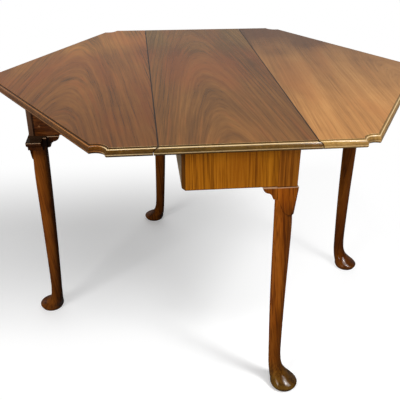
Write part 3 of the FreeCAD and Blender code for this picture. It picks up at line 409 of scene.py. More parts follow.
@dataclass(frozen=True)
class Wood:
    """Wood with growth figure, streaks, fibres and pores, under an old varnish.

    Attributes:
        heart: the point that the growth rings run round.
        arch: how far the rings run along the fibres for each step across.
        crown: half width of the rounded peak of the arches.
        dense: how close the streaks lie.
        period, sway: length of a ring along the fibres, and how far it wanders.
        rings, contrast, fine: strength of the rings, the broad bands and the fine streaks.
        front, rear: tones of the two ends of a board, partly fading by daylight and partly painted sheen
            and painted shade.
        knee, ledge, toe: tones of a leg's knee and of the ledge above it, painted light and shade, and of
            its foot, dust and painted light.
        lap: distance from the middle at which a dark seam ends the piece, or 0.
        foot: height of a painted shadow line at the piece's foot, or 0.
    """

    name: str
    grain: Grain
    dark: Colour
    middle: Colour
    light: Colour
    red: Colour
    heart: Triple
    arch: float = 6.0
    crown: float = 0.028
    dense: float = 1.0
    period: float = 0.13
    sway: float = 0.2
    rings: float = 0.06
    contrast: float = 1.25
    fine: float = 1.6
    rough: float = 0.45
    polish: float = 0.9
    moulded: bool = False
    front: Optional[Colour] = None
    rear: Optional[Colour] = None
    knee: Optional[Colour] = None
    ledge: Colour = (1.0, 1.0, 1.0)
    toe: Colour = (0.70, 1.22, 1.95)
    lap: float = 0.0
    foot: float = 0.0

    def figure(self, recipe: Recipe, at: Wire) -> Tuple[Wire, Wire]:
        """Draw the wood itself.

        Args:
            recipe: the material's nodes.
            at: the place in the wood, its Y along the fibres.

        Returns:
            The colour of the wood, and its pores and fibres as a height.
        """
        across, along, deep = recipe.split(at)
        cone = (across * across + self.crown ** 2).math("SQRT")
        slow = (recipe.noise(at, Pattern.SLOW) - MIDDLE) * self.sway
        ripple = (recipe.noise(at, Pattern.RIPPLE) - MIDDLE) * RIPPLE_DEPTH
        rings = along + cone * self.arch + slow + ripple
        wave = ((rings * (2 * math.pi / self.period)).math("SINE") * 0.5 + 0.5) ** RING_SHARPNESS
        bent = {0: rings * (self.dense / self.arch), 1: along, 2: deep + across * FIBRE_LEAN}
        lines = recipe.add("ShaderNodeCombineXYZ", {}, bent)
        patterns = (Pattern.BROAD, Pattern.STREAK, Pattern.FLECK, Pattern.FIBRE)
        broad, streak, fleck, fibre = (recipe.noise(lines, pattern) for pattern in patterns)
        pore = recipe.noise(lines, Pattern.PORE).step(*PORE_EDGE)
        cloud = recipe.noise(at, Pattern.CLOUD)
        bands = (broad + cloud - 2 * MIDDLE) * BAND_SHARE
        grain = (streak - MIDDLE) * STREAK_SHARE
        grain = grain + (fleck - MIDDLE) * FLECK_SHARE + (fibre - MIDDLE) * FIBRE_SHARE
        tone = bands * self.contrast + grain * self.fine + (MIDDLE + self.rings * RING_LIFT)
        tone = tone - wave * self.rings * cloud.step(*RING_EDGE)
        stops = tuple(zip(TONE_STOPS, (self.dark, self.middle, self.light)))
        colour = recipe.add("ShaderNodeValToRGB", {"stops": stops}, {0: tone})
        patch = recipe.noise(lines, Pattern.PATCH).step(*PATCH_EDGE)
        colour = recipe.mix(patch * PATCH_SHARE, colour, self.red)
        colour = recipe.mix(pore * PORE_SHARE, colour, tuple(part / 2 for part in self.dark))
        flame = (streak + fleck * 0.5).step(*FLAME_EDGE)
        colour = recipe.mix(flame * FLAME_SHARE, colour, self.red)
        return colour, fibre * FIBRE_RELIEF - pore

    def fade_sheen_and_shade(self, coat: Coat) -> None:
        """Change the tone of a board from front to rear, partly as years of daylight do and partly as
        painted sheen and painted shade.

        Args:
            coat: the finish being laid.
        """
        wander = coat.noise(Pattern.WANDER) * FADE_AND_LIGHT_WANDER
        line = coat.along + wander + (abs(coat.across) - LEAF_MIDDLE) * FADE_AND_LIGHT_SLANT
        # Painted sheen and painted shade, with some fading, towards the front and the rear of the board
        coat.tone(line.step(*FRONT_FADE_AND_LIGHT), self.front)
        coat.tone(line.step(*REAR_FADE_AND_LIGHT), self.rear)

    def wear_shade_and_highlight_edge(self, coat: Coat) -> None:
        """Darken the hollows of the moulded edge with dirt and painted shade and its joints with a dark
        line, and lighten its crests with worn polish and painted highlights.

        Args:
            coat: the finish being laid.
        """
        mix, across = coat.recipe.mix, coat.across
        depth = (TOP_HEIGHT - coat.height) * (1 / BOARD_THICKNESS)
        stops = tuple((spot, (level, level, level)) for spot, level in EDGE_WEAR_SHADE_AND_HIGHLIGHT)
        edge_level = coat.recipe.add("ShaderNodeValToRGB", {"stops": stops}, {0: depth})
        # Painted light: the right side and the end grain of the edge are painted paler, and the left side
        # darker as painted shade
        painted_lit_side = across.step(*LIT_SIDE_ACROSS)
        lit_end_grain = abs(coat.along).step(*END_ALONG) * abs(across).step(*END_ACROSS)
        pale_and_lit = lit_end_grain.most(across.step(*PALE_LIT_ACROSS))
        end_tone = mix(painted_lit_side, PAINTED_SHADED_END_TONE, PAINTED_LIT_END_TONE)
        coat.tone(depth.step(*EDGE_START), mix(pale_and_lit, SIDE_TONE, end_tone))
        # Dirt and painted shade in the hollows, lighter on the side painted as lit
        hollow_dirt_and_shade = edge_level.step(EDGE_LEVEL_PLAIN, 0.0) * (HOLLOW_DIRT_AND_SHADE_SHARE - pale_and_lit * HOLLOW_DIRT_AND_SHADE_LOSS)
        coat.lay(hollow_dirt_and_shade, mix(painted_lit_side, shade(26, 16, 7), shade(72, 50, 28)))
        # Worn polish and painted highlights on the crests, brighter where the edge is painted as lit
        crest_wear_and_highlight = mix(pale_and_lit, shade(146, 96, 52), shade(226, 198, 150))
        coat.lay(edge_level.step(EDGE_LEVEL_PLAIN, EDGE_LEVEL_BRIGHT) * CREST_WEAR_AND_HIGHLIGHT_SHARE, crest_wear_and_highlight)
        coat.lay(self.joint_line(across, coat.height) * JOINT_SHARE, shade(22, 13, 7))

    @staticmethod
    def joint_line(across: Wire, height: Wire) -> Wire:
        """Find the dark line of a rule joint, which follows the joint's round down from its fillet.

        Args:
            across: distance across the table from its middle.
            height: height above the floor.

        Returns:
            The wire of the line's strength.
        """
        side = abs(across) - JOINT
        out = side.most(0.0)
        over = (height - PIN_HEIGHT).most(0.0)
        reach = (out * out + over * over).math("SQRT")
        round_joint = abs(reach - JOINT_RADIUS).step(*ROUND_EDGE) * side.step(*ROUND_START)
        fillet = abs(side).step(*FILLET_EDGE) * over.step(*FILLET_HEIGHT)
        return round_joint.most(fillet)

    def soil_and_paint_light(self, coat: Coat) -> None:
        """Paint light and shade on a leg's knee and ledge, with a painted highlight on the ledge's edge and
        painted shade under the lappet's lip, darken its ankle, and tone its foot with dust and painted
        light.

        Args:
            coat: the finish being laid.
        """
        height = coat.height
        ragged = height + coat.noise(Pattern.RAGGED) * RAGGED_DEPTH
        # Painted light on the front leg's knee, painted shade on the knees of the others
        coat.tone(ragged.step(*KNEE_LOW) * height.step(*KNEE_HIGH), self.knee)
        # Painted shade and dirt in the hollow under the lappet's lip
        groove = coat.recipe.add("ShaderNodeAttribute", {"attribute_name": "groove"}, {}, "Fac")
        coat.lay(groove * LIP_SHADE_AND_DIRT_SHARE, shade(18, 9, 4))
        # Painted highlight along the ledge's edge, and painted shade on its top on the shaded legs
        ledge = height.step(*LEDGE_LOW) * height.step(*LEDGE_HIGH)
        coat.lay(ledge * LEDGE_HIGHLIGHT_SHARE, shade(206, 172, 138))
        coat.tone(ledge * height.step(*LEDGE_FLAT), self.ledge)
        coat.tone(ragged.step(*ANKLE_HEIGHT), ANKLE_TONE)
        # Dust and painted light on the foot
        coat.tone(ragged.step(*TOE_HEIGHT), self.toe)

    def make(self) -> Material:
        """Build the material.

        Returns:
            The material.
        """
        material = bpy.data.materials.new(self.name)
        recipe = Recipe(material)
        place = recipe.add("ShaderNodeTexCoord", {}, {}, "Object")
        sockets = {"Vector": place, "Location": self.heart, "Rotation": self.grain.value}
        at = recipe.add("ShaderNodeMapping", {"vector_type": "TEXTURE"}, sockets)
        colour, relief = self.figure(recipe, at)
        coat = Coat(recipe, place, *recipe.split(place), colour)
        shine = self.polish
        if self.front:
            self.fade_sheen_and_shade(coat)
        if self.moulded:
            self.wear_shade_and_highlight_edge(coat)
            polished = coat.height.step(*(UNDERSIDE + start for start in POLISH_START))
            coat.lay((1.0 - polished) * BARE_SHARE, shade(104, 80, 58))
            shine = polished * self.polish
        if self.knee:
            self.soil_and_paint_light(coat)
            shine = coat.height.step(*FOOT_SHINE_HEIGHT) * FOOT_SHINE + self.polish
        if self.lap:
            dark_line = abs(coat.across).step(self.lap - LAP_WIDTH, self.lap)
            coat.lay(dark_line * DARK_LINE_SHARE, shade(16, 8, 5))
        # Painted shadow along the foot, where the rail and post meet the knee's ledge
        if self.foot:
            dark_line = coat.height.step(*(self.foot + start for start in FOOT_SHADOW_LINE))
            coat.lay(dark_line * DARK_LINE_SHARE, shade(34, 18, 8))
        recipe.surface({
            "Base Color": coat.colour,
            "Roughness": self.rough + coat.noise(Pattern.SMUDGE) * SMUDGE_DEPTH,
            "Normal": recipe.add("ShaderNodeBump", {}, dict(RELIEF, Height=relief)),
            "Specular IOR Level": 0.0,
            "Coat Weight": shine,
            "Coat Roughness": COAT_ROUGHNESS,
        })
        return material


@dataclass(frozen=True)
class Iron:
    """Forged or drawn metal, darkened and a little rusty."""

    name: str
    clean: Colour
    rust: Colour
    rough: float
    rust_edge: Pair = (0.45, 0.68)
    rust_rough: float = 0.25
    grit_rough: float = 0.2
    metal: float = 0.9
    rust_dull: float = 0.7

    def make(self) -> Material:
        """Build the material.

        Returns:
            The material.
        """
        material = bpy.data.materials.new(self.name)
        recipe = Recipe(material)
        at = recipe.add("ShaderNodeTexCoord", {}, {}, "Object")
        blotch = recipe.noise(at, Pattern.BLOTCH).step(*self.rust_edge)
        grit = recipe.noise(at, Pattern.GRIT)
        relief = {"Strength": 0.4, "Distance": 0.0002, "Height": grit}
        recipe.surface({
            "Base Color": recipe.mix(blotch, self.clean, self.rust),
            "Roughness": self.rough + blotch * self.rust_rough + (grit - MIDDLE) * self.grit_rough,
            "Metallic": self.metal - blotch * self.rust_dull,
            "Normal": recipe.add("ShaderNodeBump", {}, relief),
        })
        return material


def only(items: Iterable[object], kind: type) -> list:
    """Give the items of an operator's result that are of one kind."""
    return [item for item in items if isinstance(item, kind)]


def edges_at(verts: Iterable[BMVert]) -> List[BMEdge]:
    """Give the edges that meet at some vertices, each once."""
    return list(dict.fromkeys(edge for vert in verts for edge in vert.link_edges))


def faces_at(verts: Iterable[BMVert]) -> List[BMFace]:
    """Give the faces that meet at some vertices, each once."""
    return list(dict.fromkeys(face for vert in verts for face in vert.link_faces))


# Angles between faces at which a prism's edge is eased, and at which shading breaks
EASED_ANGLE = math.radians(30)
SHARP_ANGLE = math.radians(32)


class Bench:
    """A mesh in the making, with the few operations that the pieces need."""

    def __init__(self) -> None:
        """Start an empty mesh."""
        self.shape = bmesh.new()
        # Faces under the lappet's lip, which get painted shade and dirt
        self.groove = self.shape.faces.layers.float.new("groove")

    def soften(self, edges: Sequence[BMEdge], width: float) -> List[BMFace]:
        """Round edges off.

        Args:
            edges: the edges.
            width: width of the rounding.

        Returns:
            The faces of the rounding.
        """
        return bmesh.ops.bevel(
            self.shape, geom=edges, offset=width, offset_type="OFFSET", affect="EDGES",
            segments=2, profile=0.5, material=-1,
        )["faces"]

    def block(self, low: Triple, high: Triple, soft: float) -> None:
        """Add a block with softened edges.

        Args:
            low: its lowest corner.
            high: its highest corner.
            soft: width of the softened edges.
        """
        made = bmesh.ops.create_cube(self.shape, size=1.0)["verts"]
        bmesh.ops.scale(self.shape, vec=Vector(high) - Vector(low), verts=made)
        bmesh.ops.translate(self.shape, vec=(Vector(low) + Vector(high)) / 2, verts=made)
        self.soften(edges_at(made), soft)

    def prism(self, path: Sequence[Pair], low: float, high: float, soft: float) -> None:
        """Add a level outline raised to a solid, with softened edges.

        Args:
            path: the outline's corners.
            low: height of its foot.
            high: height of its top.
            soft: width of the softened edges.
        """
        verts = [self.shape.verts.new((x, y, low)) for x, y in path]
        face = self.shape.faces.new(verts)
        raised = bmesh.ops.extrude_face_region(self.shape, geom=[face])["geom"]
        top = only(raised, BMVert)
        bmesh.ops.translate(self.shape, vec=(0.0, 0.0, high - low), verts=top)
        made = verts + top
        bmesh.ops.recalc_face_normals(self.shape, faces=faces_at(made))
        self.soften([edge for edge in edges_at(made) if edge.calc_face_angle(0.0) > EASED_ANGLE], soft)

    def ring(self, low: Pair, high: Pair, radius: float, height: float) -> List[BMEdge]:
        """Add a level rounded square as a bare loop.

        Args:
            low: its low corner.
            high: its high corner.
            radius: radius of its corners.
            height: its height.

        Returns:
            The loop's edges.
        """
        made = bmesh.ops.create_grid(self.shape, x_segments=1, y_segments=1, size=0.5)["verts"]
        bmesh.ops.scale(self.shape, vec=(high[0] - low[0], high[1] - low[1], 1.0), verts=made)
        middle = ((low[0] + high[0]) / 2, (low[1] + high[1]) / 2, height)
        bmesh.ops.translate(self.shape, vec=middle, verts=made)
        rounded = bmesh.ops.bevel(
            self.shape, geom=made, offset=radius, offset_type="OFFSET", affect="VERTICES",
            segments=6, profile=0.5, material=-1,
        )
        faces = faces_at(rounded["verts"])
        edges = [edge for face in faces for edge in face.edges]
        bmesh.ops.delete(self.shape, geom=faces, context="FACES_ONLY")
        return edges

    def piece(self, name: str, paint: Material, body: str, slot: str, *nodes: str) -> None:
        """Make the mesh an object of the table.

        Args:
            name: the piece's name.
            paint: its finish.
            body: the body that it moves with.
            slot: not used.
            nodes: the CAD nodes that it stands for.
        """
        bmesh.ops.recalc_face_normals(self.shape, faces=self.shape.faces[:])
        for face in self.shape.faces:
            face.smooth = True
        for edge in self.shape.edges:
            edge.smooth = edge.calc_face_angle(0.0) < SHARP_ANGLE
        mesh = bpy.data.meshes.new(name)
        self.shape.to_mesh(mesh)
        self.shape.free()
        mesh.materials.append(paint)
        thing = bpy.data.objects.new(name, mesh)
        bpy.context.collection.objects.link(thing)
        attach(thing, body)
        if nodes:
            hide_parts(*nodes)
        LOG.info("%s: %d faces", name, len(mesh.polygons))


# Shaft and foot: height, offset towards the toe, radius
LEG_STATIONS = (
    (0.0000, 0.0470, 0.0295), (0.0012, 0.0470, 0.0312), (0.0060, 0.0470, 0.0338), (0.0100, 0.0470, 0.0354),
    (0.0125, 0.0468, 0.0352), (0.0180, 0.0432, 0.0328), (0.0279, 0.0325, 0.0265), (0.0422, 0.0218, 0.0199),
    (0.0620, 0.0156, 0.0168), (0.0800, 0.0134, 0.0159), (0.1050, 0.0117, 0.0158), (0.2000, 0.0083, 0.0173),
    (0.2979, 0.0058, 0.0188), (0.4000, 0.0043, 0.0203), (0.4800, 0.0030, 0.0211), (0.5200, 0.0012, 0.0206),
    (0.5640, 0.0000, 0.0202),
)

# Heights of the mesh's rings on a leg, close on the foot and wider apart on the ankle and the shaft
LEG_RINGS = (
    0.0, 0.0012, 0.0035, 0.006, 0.008, 0.01, 0.0115, 0.013, 0.0155,
    *(0.018 + 0.004 * ring for ring in range(12)),
    *(0.068 + 0.0248 * ring for ring in range(21)),
)

# Directions of the flat cuts round the lappet's ellipse, in degrees
LAPPET_CUTS = range(200, 301, 10)

# Way from a leg's middle to its toe, out over the corner
TOE_WAY = Vector((-math.sqrt(0.5), math.sqrt(0.5), 0.0))
UP = Vector((0.0, 0.0, 1.0))


def along_stations(height: float) -> Pair:
    """Follow smooth curves through the leg's stations.

    Args:
        height: height above the floor.

    Returns:
        The leg's offset towards the toe and its radius at that height.
    """
    last = len(LEG_STATIONS) - 1
    index = max(i for i in range(last) if LEG_STATIONS[i][0] <= height)
    low, high = LEG_STATIONS[index], LEG_STATIONS[index + 1]
    span = high[0] - low[0]
    share = (height - low[0]) / span
    square, cube = share ** 2, share ** 3
    found = []
    for item in (1, 2):
        slopes = []
        for i in (index, index + 1):
            before, after = LEG_STATIONS[max(i - 1, 0)], LEG_STATIONS[min(i + 1, last)]
            slopes.append((after[item] - before[item]) / (after[0] - before[0]) * span)
        found.append(
            low[item] * (2 * cube - 3 * square + 1) + slopes[0] * (cube - 2 * square + share)
            + high[item] * (3 * square - 2 * cube) + slopes[1] * (cube - square)
        )
    return tuple(found)


@dataclass
class Leg:
    """A leg with square post, knee, lappet, round shaft and pad foot, toe towards local -X +Y.

    Attributes:
        name, body: the carved piece's name, and the body that the leg moves with.
        axis: where the leg stands, before the turn.
        wood, post_wood: finishes of the carved leg and of the post above it.
        turned: whether it stands half a turn round the table's middle.
        swings: whether it is a swinging leg, whose post laps over a rail.
    """

    name: str
    body: str
    axis: Pair
    wood: str
    post_wood: str
    turned: bool = False
    swings: bool = False
    segments: int = 40
    half: float = 0.0225
    proud: float = 0.003
    ledge: float = 0.588
    swing_ledge: float = 0.589
    rim: float = 0.0008
    block_foot: float = 0.556
    block_inset: float = 0.00005
    knee_foot: float = 0.508
    knee_half: float = 0.0214
    knee_shift: float = 0.0015
    corner_top: float = 0.0009
    corner_foot: float = 0.015
    lappet_tip: float = 0.514
    lappet_reach: float = 0.0263
    lappet_half: float = 0.017
    lappet_rise: float = 0.026
    lappet_lip: float = 0.0016
    lip_clear: float = 0.0005
    lip_angle: float = math.radians(40)
    post_foot: float = 0.5875
    post_soft: float = 0.0007
    swing_post_top: float = 0.7015
    swing_post_soft: float = 0.0006
    lap_depth: float = 0.030
    lap_step: float = 0.010
    lap_shoulder: float = 0.012

    def place(self) -> Matrix:
        """Give the matrix from the leg's own drawing to the table."""
        turn = Matrix.Rotation(math.pi if self.turned else 0.0, 4, "Z")
        return turn @ Matrix.Translation((*self.axis, 0.0))

    def knee_top(self) -> float:
        """Give the height of the ledge above the knee."""
        return self.swing_ledge if self.swings else self.ledge

    def shaft(self, bench: Bench) -> None:
        """Turn the round shaft and the pad foot.

        Args:
            bench: the mesh.
        """
        shape = bench.shape
        offset, radius = along_stations(LEG_RINGS[0])
        made = bmesh.ops.create_circle(shape, cap_ends=True, segments=self.segments, radius=radius)["verts"]
        bmesh.ops.translate(shape, vec=TOE_WAY * offset, verts=made)
        edges = edges_at(made)
        for low, high in zip(LEG_RINGS, LEG_RINGS[1:]):
            grown = bmesh.ops.extrude_edge_only(shape, edges=edges)["geom"]
            made = only(grown, BMVert)
            edges = only(grown, BMEdge)
            edges = [edge for edge in edges if all(vert in made for vert in edge.verts)]
            next_offset, next_radius = along_stations(high)
            wider = next_radius / radius
            space = Matrix.Translation(-TOE_WAY * offset)
            bmesh.ops.scale(shape, vec=(wider, wider, 1.0), space=space, verts=made)
            step = TOE_WAY * (next_offset - offset) + UP * (high - low)
            bmesh.ops.translate(shape, vec=step, verts=made)
            offset, radius = next_offset, next_radius
        bmesh.ops.holes_fill(shape, edges=edges, sides=0)

    def knee_ring(self, bench: Bench, height: float) -> List[BMEdge]:
        """Add the knee's outline at a height.

        Args:
            bench: the mesh.
            height: the height.

        Returns:
            The outline's edges.
        """
        share = (self.knee_top() - height) / (self.knee_top() - self.knee_foot)
        below = max(0.0, (self.block_foot - height) / (self.block_foot - self.knee_foot))
        out = (self.half + self.proud) * (1 - share) + (self.knee_half + self.knee_shift) * share
        back = (self.half - self.block_inset) * (1 - below) + (self.knee_half - self.knee_shift) * below
        corner = self.corner_top * (1 - share) + self.corner_foot * share
        return bench.ring((-out, -back), (back, out), corner, height)

    def knee(self, bench: Bench) -> None:
        """Shape the square knee, and the lappet below it.

        Args:
            bench: the mesh.
        """
        for low, high in ((self.block_foot, self.knee_top()), (self.knee_foot, self.block_foot)):
            foot, top = self.knee_ring(bench, low), self.knee_ring(bench, high)
            walls = bmesh.ops.bridge_loops(bench.shape, edges=foot + top)["faces"]
            made = list(dict.fromkeys(vert for face in walls for vert in face.verts))
            bmesh.ops.holes_fill(bench.shape, edges=foot + top, sides=0)
            if high == self.block_foot:
                self.soften_lip(bench, self.cut_lappet(bench, made))
            else:
                bench.soften([edge for edge in top if edge.is_valid], self.rim)

    def cut_lappet(self, bench: Bench, solid: List[BMVert]) -> List[BMVert]:
        """Cut the lappet's rounded tongue with flat cuts round an ellipse.

        Args:
            bench: the mesh.
            solid: the vertices of the solid that is cut.

        Returns:
            The vertices of what is left.
        """
        middle = TOE_WAY * self.lappet_reach + UP * (self.lappet_tip + self.lappet_rise)
        for degrees in LAPPET_CUTS:
            cosine, sine = math.cos(math.radians(degrees)), math.sin(math.radians(degrees))
            spot = middle + TOE_WAY * (self.lappet_half * cosine) + UP * (self.lappet_rise * sine)
            way = (TOE_WAY * (cosine / self.lappet_half) + UP * (sine / self.lappet_rise)).normalized()
            faces = faces_at(solid)
            edges = list(dict.fromkeys(edge for face in faces for edge in face.edges))
            cut = bmesh.ops.bisect_plane(
                bench.shape, geom=solid + edges + faces, dist=1e-7,
                plane_co=spot, plane_no=way, clear_outer=True,
            )
            lip = only(cut["geom_cut"], BMEdge)
            bmesh.ops.holes_fill(bench.shape, edges=lip, sides=0)
            left = only(cut["geom"], BMVert) + [vert for edge in lip for vert in edge.verts]
            solid = [vert for vert in dict.fromkeys(left) if vert.is_valid]
        return solid

    def soften_lip(self, bench: Bench, solid: List[BMVert]) -> None:
        """Ease the lappet's lower lip and mark the hollow under it for painted shade and dirt.

        Args:
            bench: the mesh.
            solid: the vertices of the cut lappet.
        """
        bmesh.ops.recalc_face_normals(bench.shape, faces=faces_at(solid))
        lip = [
            edge for edge in edges_at(solid)
            if edge.calc_face_angle(0.0) > self.lip_angle
            and max(vert.co.z for vert in edge.verts) < self.block_foot - self.lip_clear
        ]
        for face in bench.soften(lip, self.lappet_lip):
            face[bench.groove] = 1.0

    def post(self, bench: Bench) -> None:
        """Add the post above the knee: square on a fixed leg, lapped over the rail on a swinging one.

        Args:
            bench: the mesh.
        """
        half = self.half
        if not self.swings:
            bench.block((-half, -half, self.post_foot), (half, half, UNDERSIDE), self.post_soft)
            return
        front = half - self.lap_depth
        lap = front + self.lap_step
        stop = self.lap_shoulder - half
        path = ((-half, front), (stop, front), (stop, lap), (half, lap), (half, half), (-half, half))
        bench.prism(path, self.knee_top(), self.swing_post_top, self.swing_post_soft)

    def build(self, paints: Paints) -> None:
        """Make the leg's two pieces, the carved leg and its post.

        Args:
            paints: the finishes by name.
        """
        carved, post = Bench(), Bench()
        self.shaft(carved)
        self.knee(carved)
        self.post(post)
        for bench in (carved, post):
            bmesh.ops.transform(bench.shape, matrix=self.place(), verts=bench.shape.verts[:])
        node = self.name.replace("_carved", "")
        carved.piece(self.name, paints[self.wood], self.body, "mahogany_leg", node)
        post.piece(node + "_post", paints[self.post_wood], self.body, "mahogany_rail")


# Finishes of the CAD pieces, each with the ends of their names
FINISHES = {
    "centre_board": ("centre_top",),
    "left_board": ("left_leaf",),
    "right_board": ("right_leaf",),
    "worn_steel": ("_screws",),
    "forged_iron": ("_plates", "_straps", "_pins", "_pin"),
    "peg_oak": ("_pegs",),
    "inner_rail_pine": ("_inner_rail", "_glue_block"),
    "end_rail_veneer": ("_end_rail",),
    "side_rail": ("_fixed_rail",),
    "fly_rail": ("_fly_rail",),
}


@dataclass
class Joinery:
    """The pieces that keep their CAD shape: boards, rails, ears, hinges, pegs and screws."""

    board_arris: float = 0.0005
    rail_arris: float = 0.0007
    weld: float = 0.00001
    flat_angle: float = math.radians(0.6)
    arris_angle: float = math.radians(28)

    @staticmethod
    def finish_of(node: str) -> str:
        """Choose a piece's finish.

        Args:
            node: the piece's name.

        Returns:
            The finish's name.
        """
        for finish, endings in FINISHES.items():
            if node.endswith(endings):
                return finish
        return "leg_wood" if node.startswith("front_right") else "dark_leg_wood"

    def soften_arrises(self, node: Object, width: float) -> None:
        """Round off a piece's arrises, which its own mesh leaves sharp.

        Args:
            node: the piece.
            width: width of the rounding.
        """
        weld = node.modifiers.new("weld", "WELD")
        weld.merge_threshold = self.weld
        flat = node.modifiers.new("flat_faces", "DECIMATE")
        flat.decimate_type = "DISSOLVE"
        flat.angle_limit = self.flat_angle
        soft = node.modifiers.new("soft_arris", "BEVEL")
        soft.width = width
        soft.segments = 2
        soft.limit_method = "ANGLE"
        soft.angle_limit = self.arris_angle
        soft.harden_normals = True

    def dress(self, paints: Paints) -> None:
        """Give each piece its finish, and the wooden ones soft arrises.

        Args:
            paints: the finishes by name.
        """
        for name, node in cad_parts.items():
            finish = self.finish_of(name)
            for place in node.material_slots:
                place.material = paints[finish]
            if finish.endswith("_board"):
                self.soften_arrises(node, self.board_arris)
            elif finish.endswith(("_rail", "_veneer", "_pine")) or name.endswith("_ear"):
                self.soften_arrises(node, self.rail_arris)
            LOG.info("%s: %s", name, finish)


@dataclass(frozen=True)
class Lamp:
    """A soft oblong lamp, seen in reflections or not."""

    name: str
    place: Triple
    aim: Triple
    size: Pair
    watts: float
    reflected: bool = True

    def hang(self) -> Object:
        """Hang the lamp.

        Returns:
            The lamp's object.
        """
        data = bpy.data.lights.new(self.name, "AREA")
        data.shape = "RECTANGLE"
        data.size, data.size_y = self.size
        data.energy = self.watts
        lamp = bpy.data.objects.new(self.name, data)
        turn = (Vector(self.aim) - Vector(self.place)).to_track_quat("-Z", "Y").to_matrix().to_4x4()
        lamp.matrix_world = Matrix.Translation(self.place) @ turn
        lamp.visible_glossy = self.reflected
        bpy.context.collection.objects.link(lamp)
        return lamp


# The left window hangs twice: only the weaker one lights the floor, so that the shadows there stay soft
LEFT_WINDOW = Lamp("left_window", (-2.0, -2.1, 1.45), (0.0, -0.2, 0.4), (1.0, 1.2), 60.0, reflected=False)
LAMPS = (
    Lamp("key", (1.4, -1.4, 3.0), (0.0, 0.0, 0.3), (1.2, 1.2), 30.0),
    Lamp("bulb", (1.5, -1.5, 3.0), (0.0, 0.0, 0.3), (0.4, 0.4), 25.0),
    Lamp("strip", (-0.2, -1.55, 3.0), (0.0, -0.3, 0.5), (1.8, 0.35), 16.0),
    LEFT_WINDOW,
    replace(LEFT_WINDOW, name="left_lamp", watts=38.0),
    Lamp("right_window", (2.1, -1.5, 2.7), (0.3, 0.0, 0.3), (1.0, 1.0), 22.0),
    Lamp("glint", (-1.7, -2.3, 1.9), (0.0, -0.2, 0.2), (0.13, 0.6), 13.0),
)


